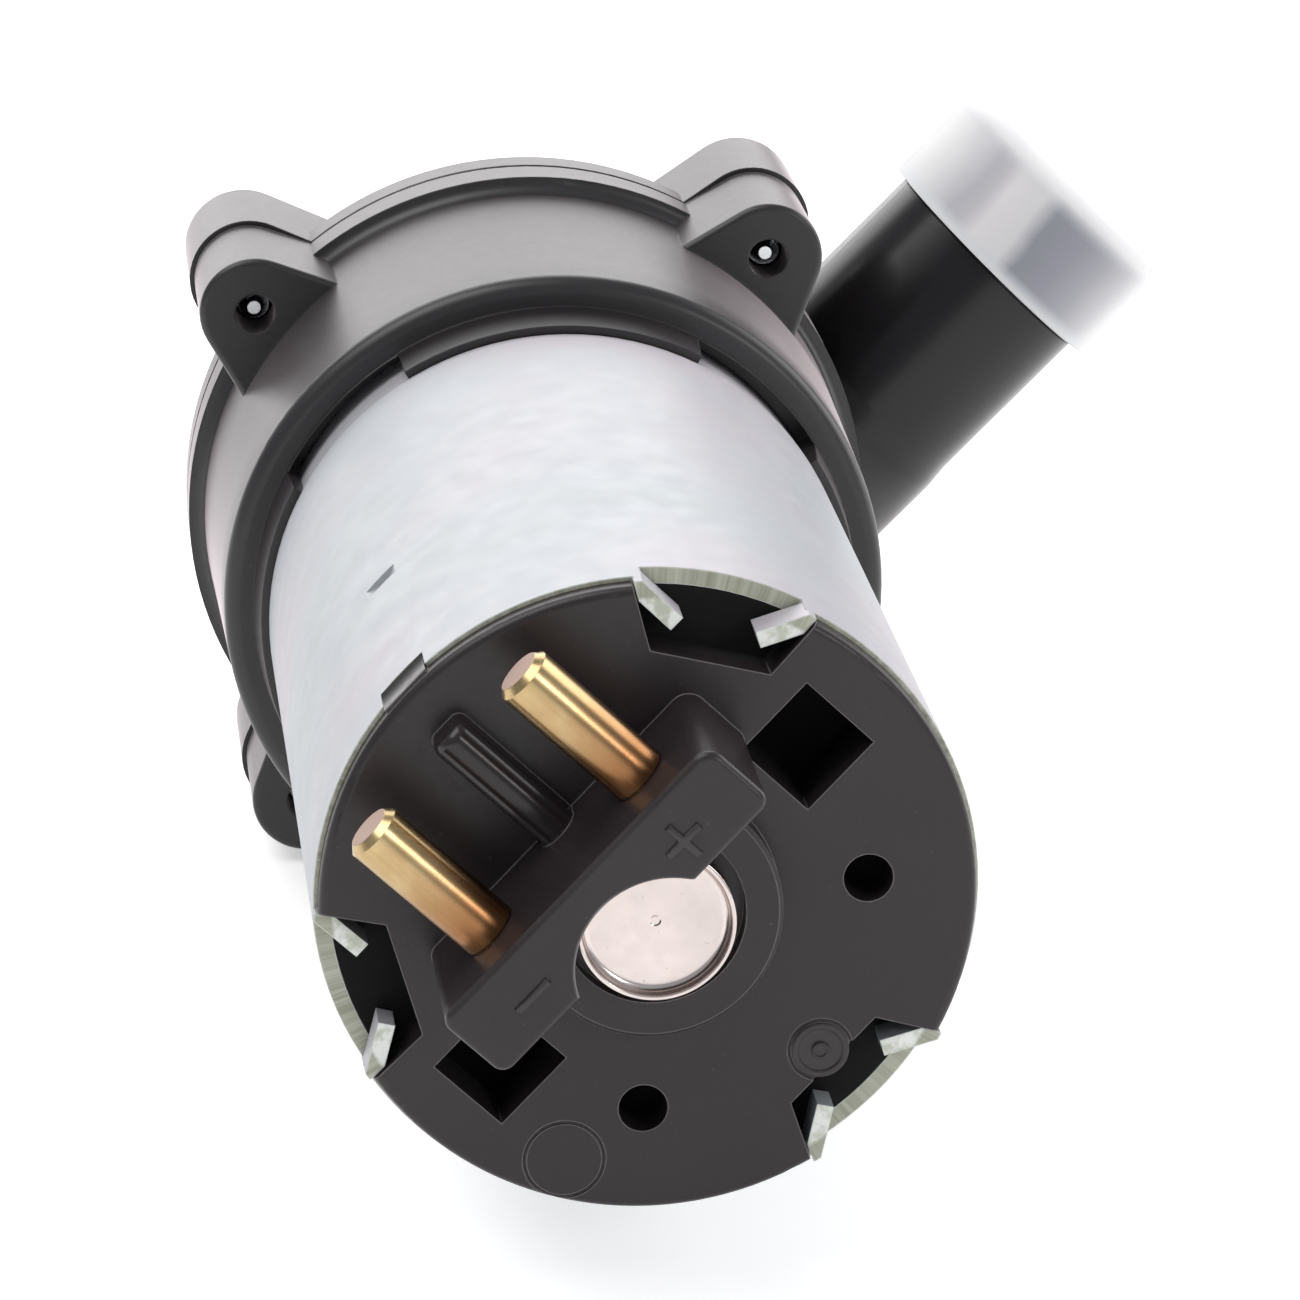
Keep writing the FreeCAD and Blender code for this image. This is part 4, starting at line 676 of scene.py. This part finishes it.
class PUMP_OT_bearing_cap(bpy.types.Operator):
    """Bright pressed cup over the rear bearing: a sunk disc in a rolled rim"""
    bl_idname = "pump.bearing_cap"
    bl_label = "Bearing cap"

    seat_depth = -1.0
    rim_depth = -4.4
    disc_depth = -3.5
    disc_wall = 0.35
    outer_radius = 5.5
    rim_width = 0.35
    rim_wall = 0.5
    rim_round = 0.16
    corner = 0.65
    dimple_radius = 0.40
    dimple_edge = 0.10
    dimple_depth = 0.06

    def execute(self, context):
        material = self.finish(context)
        select_only()
        height = mm(self.seat_depth - self.rim_depth)
        sunk = mm(self.disc_depth - self.rim_depth)
        bpy.ops.mesh.primitive_cylinder_add(vertices=96, radius=mm(self.outer_radius), depth=height,
                                            location=(0, 0, height / 2))
        bpy.ops.object.transform_apply(location=True, rotation=True, scale=True)
        cap = new_piece("pressed_bearing_cap")
        pick(cap, "FACE", lambda c, n: n.z > 0.9)
        bpy.ops.mesh.inset(thickness=mm(self.rim_width))
        bpy.ops.mesh.extrude_region_move(TRANSFORM_OT_translate={"value": (0, 0, -sunk)})
        floor = height - sunk
        pick(cap, "EDGE", lambda a, b: max(abs(a.z - floor), abs(b.z - floor)) < mm(0.01))
        bpy.ops.mesh.bevel(offset=mm(self.corner), segments=8)
        pick(cap, "EDGE", lambda a, b: min(a.z, b.z) > height - mm(0.01) and
             abs(a.xy.length - b.xy.length) < mm(0.01))
        bpy.ops.mesh.bevel(offset=mm(self.rim_round), segments=4)
        pick(cap, "FACE", lambda c, n: n.z > 0.999 and c.xy.length < mm(0.1))
        flat_radius = self.outer_radius - self.rim_width - self.corner
        bpy.ops.mesh.inset(thickness=mm(flat_radius - self.dimple_radius))
        bpy.ops.mesh.inset(thickness=mm(self.dimple_edge))
        bpy.ops.transform.translate(value=(0, 0, -mm(self.dimple_depth)))
        pick(cap, "FACE", lambda c, n: n.z < -0.9)
        bpy.ops.mesh.inset(thickness=mm(self.rim_wall))
        bpy.ops.mesh.extrude_region_move(TRANSFORM_OT_translate={"value": (0, 0, floor - mm(self.disc_wall))})
        seat(cap, Vector((0, at(self.seat_depth), 0)), (1, 0, 0), OUTWARDS)
        smooth(cap, 22)
        own(cap, "pump", material, "bearing_cap")
        return {"FINISHED"}

    def finish(self, context):
        """Bright metal, polished on its rim and dull on its flat."""
        colour = tuple(context.scene.pump_colours.cup_metal)
        s = Surface("pressed_cup")
        flat = s.facing(OUTWARDS, 0.96, 0.995)
        grain = s.noise(900, 5, 0.65)
        pits = s.ramp(s.noise(1900, 2, 0.5), [(0.70, 0.0), (0.76, 0.6)])
        base = s.ramp(s.noise(130, 4, 0.6), [(0.35, shaded(colour, 0.88)), (0.65, shaded(colour, 1.06))])
        base = s.mix(pits, base, shaded(colour, 0.45))
        s.set(Base_Color=base)
        dull = s.ramp(grain, [(0.3, 0.30), (0.7, 0.42)])
        s.set(Roughness=s.mix(flat, 0.20, dull), Metallic=1.0)
        s.bumps((grain, 0.12, 0.01), (pits, 0.3, -0.02))
        return s.material


class PUMP_OT_pump_head(bpy.types.Operator):
    """Glass-filled plastic of the pump housing and the volute cover"""
    bl_idname = "pump.pump_head"
    bl_label = "Pump head"

    satin = {"Specular_IOR_Level": 0.55, "Sheen_Weight": 1.0, "Sheen_Roughness": 0.22,
             "Sheen_Tint": (1.0, 0.88, 0.90)}
    spigot_black = (0.008, 0.007, 0.008)
    spigot_roughness = 0.24
    spigot_gloss = 0.35
    # Depths over which the housing's wall comes clear of the lip's shade, painted by turning its sheen down near the
    # lip
    lip_fade = (69.5, 75.0)
    # Places along and beside the outlet between which the head's satin goes to the spigot's gloss
    spigot_start = (19, 23)
    spigot_side = (6, 9)

    def execute(self, context):
        colour = tuple(context.scene.pump_colours.head_plastic)
        housing = grained_plastic("housing_plastic", colour, 0.37, 1100, 0.004, 0.015)
        housing.set(**self.satin)
        sheen = housing.ramp(housing.deep(*self.lip_fade), [(0.0, 0.22), (0.45, 0.55), (1.0, 1.0)])
        housing.set(Sheen_Weight=sheen)
        dress("pump_housing", housing.material)
        dress("volute_cover", self.cover(colour))
        return {"FINISHED"}

    def cover(self, colour):
        """Satin like the housing, but glossy and blacker on the outlet spigot."""
        s = Surface("cover_plastic")
        spigot = s.both(s.along(OUTLET_WAY, *self.spigot_start), s.along(OUTLET_SIDE, *self.spigot_side))
        flow, fine, base = s.moulded(colour, 1100)
        s.set(**self.satin)
        s.set(Base_Color=s.mix(spigot, base, self.spigot_black),
              Roughness=s.mix(spigot, s.ramp(fine, [(0.3, 0.355), (0.7, 0.385)]), self.spigot_roughness),
              Sheen_Weight=s.mix(spigot, self.satin["Sheen_Weight"], 0.0),
              Specular_IOR_Level=s.mix(spigot, self.satin["Specular_IOR_Level"], self.spigot_gloss))
        s.bumps((fine, 0.22, 0.004), (flow, 0.12, 0.016), edge=0.25)
        return s.material


class PUMP_OT_outlet_cap(bpy.types.Operator):
    """Milky soft plastic of the transport cap, with painted highlights and the spigot behind it painted in"""
    bl_idname = "pump.outlet_cap"
    bl_label = "Outlet cap"

    # Places along the outlet from the cap's rim to its end, and across it from side to side
    length_span = (40.4, 50.6)
    width_span = (7.6, 29.3)
    pale = (1.0, 0.985, 0.98)
    # Painted bands of the middle, from the upper side to the lower: dark bands painted where the black spigot would
    # show through, and light streaks as painted highlights
    painted_bands = [(0.08, pale), (0.13, (0.86, 0.84, 0.86)), (0.19, (0.64, 0.63, 0.68)), (0.24, (0.72, 0.70, 0.73)),
             (0.30, (1.0, 0.97, 0.98)), (0.42, (0.94, 0.92, 0.93)), (0.49, (0.37, 0.38, 0.43)),
             (0.64, (0.42, 0.42, 0.48)), (0.78, (0.56, 0.56, 0.60)), (0.89, (0.76, 0.75, 0.78)), (1.0, pale)]
    band_waviness = 0.16

    def execute(self, context):
        colour = tuple(context.scene.pump_colours.transport_cap)
        s = Surface("transport_cap_plastic")
        haze = s.noise(60, 4, 0.55)
        fine = s.noise(700, 3, 0.6)
        place = s.along(OUTLET_WAY, *self.length_span)
        # Light rings at the rim and at the edge of the end are painted highlights
        milk_and_highlights = s.ramp(place, [(0.0, self.pale), (0.10, colour), (0.78, shaded(colour, 0.9)), (0.87, self.pale),
                              (0.98, (0.95, 0.94, 0.94)), (1.0, (0.80, 0.795, 0.80))])
        # Between rim and end the black spigot is painted in as if showing through on the lower side, past a painted
        # highlight streak
        across = s.along(OUTLET_SIDE, *self.width_span)
        painted_through = s.ramp(s.calculate("MULTIPLY_ADD", haze, self.band_waviness, across), self.painted_bands)
        middle = s.ramp(place, [(0.05, 0.0), (0.15, 0.92), (0.74, 0.92), (0.88, 0.1)])
        s.set(Base_Color=s.mix(middle, milk_and_highlights, painted_through), Roughness=s.ramp(fine, [(0.3, 0.30), (0.7, 0.42)]),
              Transmission_Weight=0.25, IOR=1.20, Specular_IOR_Level=0.7, Sheen_Weight=1.0, Sheen_Roughness=0.4)
        s.bumps((haze, 0.15, 0.15), (fine, 0.12, 0.02), edge=0.2)
        dress("outlet_cap", s.material)
        return {"FINISHED"}


class PUMP_OT_cover_screws(bpy.types.Operator):
    """Thread-forming screws with lobed recesses"""
    bl_idname = "pump.cover_screws"
    bl_label = "Cover screws"

    circle = 29.7
    head_start = 111.0
    head_radius = 3.2
    head_height = 2.4
    head_round = 0.75
    recess_depth = 1.3
    # The recess is drawn in at so many places, over so many degrees each side, to this share of its radius
    lobes = 6
    lobe_half_width = 12
    lobe_share = 0.80
    tip_depth = 90.0
    tip_length = 1.5
    tip_share = 0.45
    core_radius = 1.22
    # Thread: radius over it, size of its ridge, its start above the tip and the length it leaves free
    thread_radius = 1.55
    ridge = 0.34
    pitch = 1.12
    thread_foot = 1.2
    thread_room = 3.2

    def execute(self, context):
        s = Surface("screw_steel")
        fine = s.noise(900, 4, 0.6)
        s.set(Base_Color=s.ramp(fine, [(0.3, (0.62, 0.63, 0.64)), (0.7, (0.80, 0.81, 0.82))]),
              Roughness=s.ramp(fine, [(0.3, 0.22), (0.7, 0.34)]), Metallic=1.0)
        s.bumps((fine, 0.2, 0.01), edge=0.08)
        first = self.model(context.scene.pump_sizes.head_recess)
        screws = [first] + [copy_of(first, "cover_screw_%d" % (k + 2)) for k in range(3)]
        for screw, angle in zip(screws, SCREW_ANGLES):
            out = Vector((math.cos(angle), 0, math.sin(angle)))
            seat(screw, out * mm(self.circle) + Vector((0, at(self.head_start), 0)), out, INWARDS)
            smooth(screw, 40)
            own(screw, "pump", s.material, "cover_screws")
        return {"FINISHED"}

    def model(self, recess):
        """One screw about its own Z axis, the underside of its head at the origin."""
        select_only()
        height = mm(self.head_height)
        bpy.ops.mesh.primitive_cylinder_add(vertices=48, radius=mm(self.head_radius), depth=height,
                                            location=(0, 0, height / 2))
        bpy.ops.object.transform_apply(location=True, rotation=True, scale=True)
        screw = new_piece("cover_screw_1")
        pick(screw, "EDGE", lambda a, b: min(a.z, b.z) > height * 0.9)
        bpy.ops.mesh.bevel(offset=mm(self.head_round), segments=5)
        pick(screw, "FACE", lambda c, n: n.z > 0.999 and c.z > height * 0.9)
        flat = mm(self.head_radius - self.head_round)
        bpy.ops.mesh.inset(thickness=flat - recess)
        reach = math.cos(math.radians(self.lobe_half_width))
        for lobe in range(self.lobes):
            middle = math.radians(360 / self.lobes * lobe)
            pick(screw, "VERT", lambda p: p.z > height * 0.99 and abs(p.xy.length - recess) < recess * 0.02 and
                 math.cos(math.atan2(p.y, p.x) - middle) > reach)
            bpy.ops.transform.resize(value=(self.lobe_share, self.lobe_share, 1), center_override=(0, 0, height))
        pick(screw, "FACE", lambda c, n: n.z > 0.999 and c.xy.length < recess * 0.3 and c.z > height * 0.9)
        bpy.ops.mesh.extrude_region_move(TRANSFORM_OT_translate={"value": (0, 0, -mm(self.recess_depth))})
        shank_end = mm(self.head_start - self.tip_depth)
        pick(screw, "FACE", lambda c, n: n.z < -0.999 and c.z < height * 0.1)
        bpy.ops.mesh.inset(thickness=mm(self.head_radius - self.core_radius))
        tip = mm(self.tip_length)
        for rise in (tip - shank_end, -tip):
            bpy.ops.mesh.extrude_region_move(TRANSFORM_OT_translate={"value": (0, 0, rise)})
        bpy.ops.transform.resize(value=(self.tip_share, self.tip_share, 1), center_override=(0, 0, -shank_end))
        bpy.ops.object.mode_set(mode="OBJECT")
        turns = int((shank_end - mm(self.thread_room)) / mm(self.pitch))
        thread = helix("thread", 3, mm(self.ridge), mm(self.thread_radius), mm(self.thread_foot) - shank_end,
                       mm(self.pitch), turns, 24)
        select_only(screw, thread)
        bpy.ops.object.join()
        return new_piece("cover_screw_1")


class PUMP_OT_brush_springs(bpy.types.Operator):
    """Coil springs that press the brushes on the commutator"""
    bl_idname = "pump.brush_springs"
    bl_label = "Brush springs"

    outer_radius = 2.2
    start = 14.6
    length = 4.0
    depth = 13.0
    turns = 5

    def execute(self, context):
        wire = context.scene.pump_sizes.spring_wire
        material = brushed_metal("spring_steel", (0.58, 0.57, 0.55), 0.28, (900, 900, 900), depth=0.004)
        along, across, _ = block_axes()
        pitch = (mm(self.length) - 2 * wire) / self.turns
        for name, way in (("brush_spring_plus", 1), ("brush_spring_minus", -1)):
            spring = helix(name, 12, wire, mm(self.outer_radius), wire, pitch, self.turns, 36)
            seat(spring, terminal_point(way * self.start, self.depth, 0), across, along * way)
            smooth(spring, 60)
            own(spring, "pump", material, "brush_springs")
        return {"FINISHED"}


class PUMP_OT_motor_inside(bpy.types.Operator):
    """Finishes of the motor's inner pieces"""
    bl_idname = "pump.motor_inside"
    bl_label = "Motor inside"

    def execute(self, context):
        bronze = cast_grey("sintered_bronze", (0.40, 0.25, 0.11), 0.42, 1500, 0.85)
        for name in ("rear_bearing", "front_bearing"):
            dress(name, bronze)
        dress("motor_shaft", brushed_metal("ground_shaft", (0.66, 0.66, 0.67), 0.20, (60, 1500, 60)))
        dress("armature_core", self.laminations())
        dress("armature_windings", self.enamelled_wire())
        dress("commutator", brushed_metal("commutator_copper", (0.72, 0.34, 0.18), 0.24, (60, 1800, 60)))
        dress("rotor_spacers", grained_plastic("spacer_fibre", (0.34, 0.25, 0.14), 0.62, 1300, 0.04).material)
        dress("field_magnets", cast_grey("ferrite", (0.060, 0.058, 0.060), 0.50, 1400))
        dress("magnet_clips", brushed_metal("clip_steel", (0.45, 0.46, 0.48), 0.30, (80, 900, 80)))
        dress("carbon_brushes", cast_grey("brush_carbon", (0.030, 0.029, 0.031), 0.46, 2200, 0.3))
        brass = brushed_metal("strip_brass", (0.70, 0.50, 0.20), 0.28, (700, 60, 700))
        for name in ("brush_holders", "terminal_straps"):
            dress(name, brass)
        dress("can_gasket", grained_plastic("gasket_rubber", (0.016, 0.016, 0.017), 0.70, 900, 0.03).material)
        return {"FINISHED"}

    sheet_thickness = 0.5

    def laminations(self):
        """Blackened sheets, seen as fine lines round the core."""
        s = Surface("core_laminations")
        sheets = s.add("ShaderNodeTexWave", wave_type="BANDS", bands_direction="Y")
        sheets.inputs["Scale"].default_value = 2 * math.pi / mm(self.sheet_thickness) / 20
        sheets.inputs["Distortion"].default_value = 0.6
        s.link(s.where, sheets.inputs["Vector"])
        rust = s.noise(300, 4, 0.6)
        base = s.ramp(rust, [(0.35, (0.16, 0.15, 0.15)), (0.7, (0.30, 0.27, 0.25))])
        gaps = s.ramp(sheets.outputs["Fac"], [(0.1, 0.6), (0.4, 0.0)])
        s.set(Base_Color=s.mix(gaps, base, 0.05), Roughness=s.ramp(rust, [(0.3, 0.38), (0.7, 0.52)]),
              Metallic=0.9)
        s.bumps((sheets.outputs["Fac"], 0.5, 0.05))
        return s.material

    def enamelled_wire(self):
        """Enamelled copper with the strands of the end turns as ridges."""
        s = Surface("enamelled_wire")
        strands = s.add("ShaderNodeTexWave", wave_type="RINGS", rings_direction="Y")
        strands.inputs["Scale"].default_value = 130
        strands.inputs["Distortion"].default_value = 3.0
        strands.inputs["Detail"].default_value = 2.0
        strands.inputs["Detail Scale"].default_value = 1.5
        s.link(s.where, strands.inputs["Vector"])
        base = s.ramp(strands.outputs["Fac"], [(0.1, (0.17, 0.045, 0.015)), (0.6, (0.62, 0.22, 0.075))])
        s.set(Base_Color=base, Roughness=s.ramp(strands.outputs["Fac"], [(0.2, 0.42), (0.8, 0.24)]),
              Metallic=0.85, Coat_Weight=0.6)
        s.bumps((strands.outputs["Fac"], 0.8, 0.25))
        return s.material


class PUMP_OT_drive_inside(bpy.types.Operator):
    """Finishes of the magnetic drive and the impeller"""
    bl_idname = "pump.drive_inside"
    bl_label = "Drive and impeller"

    def execute(self, context):
        steel = brushed_metal("drive_steel", (0.55, 0.56, 0.57), 0.32, (60, 900, 60))
        dress("drive_cup", steel)
        ferrite = cast_grey("coupling_ferrite", (0.070, 0.066, 0.068), 0.52, 1200)
        for name in ("drive_magnets", "rotor_magnet"):
            dress(name, ferrite)
        dress("separating_shell", grained_plastic("shell_plastic", (0.050, 0.045, 0.042), 0.38, 1000, 0.02).material)
        dress("shell_seal", grained_plastic("seal_rubber", (0.014, 0.014, 0.015), 0.55, 800, 0.02).material)
        dress("impeller", grained_plastic("impeller_plastic", (0.47, 0.43, 0.35), 0.40, 1000, 0.02).material)
        dress("impeller_bush", cast_grey("bush_graphite", (0.055, 0.055, 0.058), 0.36, 1600, 0.2))
        dress("impeller_axle", brushed_metal("axle_steel", (0.70, 0.70, 0.71), 0.18, (60, 1600, 60)))
        dress("thrust_washers", grained_plastic("washer_fibre", (0.55, 0.45, 0.28), 0.50, 1200, 0.02).material)
        return {"FINISHED"}


class PUMP_OT_stage(bpy.types.Operator):
    """Floor, soft light and the camera"""
    bl_idname = "pump.stage"
    bl_label = "Stage"

    floor_size = 12
    floor_behind = 3
    floor_glow = 0.45
    room_colour = (0.92, 0.95, 1.0)
    room_light = 0.45
    aim = Vector((0, mm(10), 0))
    # Name, place, width, power and colour of each lamp, in metres and watts
    lamps = (("back_softbox", (-0.15, 1.00, 0.50), 1.10, 8.4, (1.0, 0.985, 0.98)),
             ("top_softbox", (-0.35, -0.10, 0.75), 0.60, 3.8, (1.0, 0.99, 0.98)),
             ("right_softbox", (0.95, 0.30, 0.38), 0.80, 5.6, (1.0, 0.985, 0.98)),
             ("front_softbox", (0.55, -0.68, 0.34), 0.22, 1.3, (1.0, 0.985, 0.97)))
    # The photo's camera: its place in metres, its picture's right and up, and its focal length
    eye = Vector((-0.04145, -0.41679, 0.14355))
    right = Vector((0.9942, -0.1075, 0.0))
    up = Vector((0.0332, 0.3073, 0.9510))
    focal_length = 166.15

    def execute(self, context):
        self.floor(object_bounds()[0][2])
        self.world(context.scene)
        for name, place, size, power, colour in self.lamps:
            self.softbox(name, Vector(place), size, power, colour)
        self.camera(context)
        context.scene.view_settings.view_transform = "Standard"
        return {"FINISHED"}

    def floor(self, height):
        select_only()
        bpy.ops.mesh.primitive_grid_add(x_subdivisions=8, y_subdivisions=8, size=self.floor_size, location=(0, 0, 0))
        floor = new_piece("floor")
        bpy.ops.object.mode_set(mode="EDIT")
        bpy.ops.mesh.select_all(action="SELECT")
        bpy.ops.transform.translate(value=(0, self.floor_behind, height))
        bpy.ops.object.mode_set(mode="OBJECT")
        s = Surface("white_floor")
        s.set(Base_Color=0.88, Roughness=0.9, Specular_IOR_Level=0.1, Emission_Color=1,
              Emission_Strength=s.calculate("MULTIPLY", s.seen(), self.floor_glow))
        floor.data.materials.append(s.material)
        floor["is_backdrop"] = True

    def world(self, scene):
        """Pale room for the light and the mirrorings, plain white where the camera looks at it."""
        world = bpy.data.worlds.new("pale_room")
        world.use_nodes = True
        scene.world = world
        tree = world.node_tree
        room = tree.nodes["Background"]
        room.inputs["Color"].default_value = rgba(self.room_colour)
        room.inputs["Strength"].default_value = self.room_light
        white = tree.nodes.new("ShaderNodeBackground")
        white.inputs["Color"].default_value = rgba(1)
        white.inputs["Strength"].default_value = 1.0
        path = tree.nodes.new("ShaderNodeLightPath")
        blend = tree.nodes.new("ShaderNodeMixShader")
        tree.links.new(path.outputs["Is Camera Ray"], blend.inputs[0])
        tree.links.new(room.outputs[0], blend.inputs[1])
        tree.links.new(white.outputs[0], blend.inputs[2])
        tree.links.new(blend.outputs[0], tree.nodes["World Output"].inputs["Surface"])

    def softbox(self, name, place, size, power, colour):
        lamp = bpy.data.lights.new(name, "AREA")
        lamp.shape = "SQUARE"
        lamp.size = size
        lamp.energy = power
        lamp.color = colour
        box = bpy.data.objects.new(name, lamp)
        bpy.context.scene.collection.objects.link(box)
        turn = (self.aim - place).to_track_quat("-Z", "Y").to_matrix().to_4x4()
        box.matrix_world = Matrix.Translation(place) @ turn

    def camera(self, context):
        """The photograph's view: low over the motor's end, a little to its left."""
        data = bpy.data.cameras.new("photo_camera")
        data.sensor_width = 36
        data.lens = self.focal_length
        data.clip_start = 0.01
        data.clip_end = 50
        camera = bpy.data.objects.new("photo_camera", data)
        context.scene.collection.objects.link(camera)
        turn = Matrix((self.right, self.up, self.right.cross(self.up))).transposed().to_4x4()
        camera.matrix_world = Matrix.Translation(self.eye) @ turn
        context.scene.camera = camera


STEPS = (
    PUMP_OT_motor_can, PUMP_OT_end_cap, PUMP_OT_polarity_marks, PUMP_OT_gate_mark, PUMP_OT_terminal_pins,
    PUMP_OT_bearing_cap, PUMP_OT_pump_head, PUMP_OT_outlet_cap, PUMP_OT_cover_screws, PUMP_OT_brush_springs,
    PUMP_OT_motor_inside, PUMP_OT_drive_inside, PUMP_OT_stage,
)


class PUMP_PT_panel(bpy.types.Panel):
    """Lists the pump's pieces in the sidebar"""
    bl_idname = "PUMP_PT_panel"
    bl_label = "Water pump"
    bl_space_type = "VIEW_3D"
    bl_region_type = "UI"
    bl_category = "Water pump"

    def draw(self, context):
        layout = self.layout
        for group in (context.scene.pump_colours, context.scene.pump_sizes):
            box = layout.box()
            for key in group.__annotations__:
                box.prop(group, key)
        for step in STEPS:
            layout.operator(step.bl_idname)


CLASSES = (PumpColours, PumpSizes) + STEPS + (PUMP_PT_panel,)


def register():
    for item in CLASSES:
        bpy.utils.register_class(item)
    bpy.types.Scene.pump_colours = bpy.props.PointerProperty(type=PumpColours)
    bpy.types.Scene.pump_sizes = bpy.props.PointerProperty(type=PumpSizes)


def unregister():
    del bpy.types.Scene.pump_sizes
    del bpy.types.Scene.pump_colours
    for item in reversed(CLASSES):
        bpy.utils.unregister_class(item)


def main():
    register()
    for step in STEPS:
        group, name = step.bl_idname.split(".")
        if getattr(getattr(bpy.ops, group), name)() != {"FINISHED"}:
            raise RuntimeError(step.bl_label + " wasn't finished")


if __name__ == "__main__":
    main()
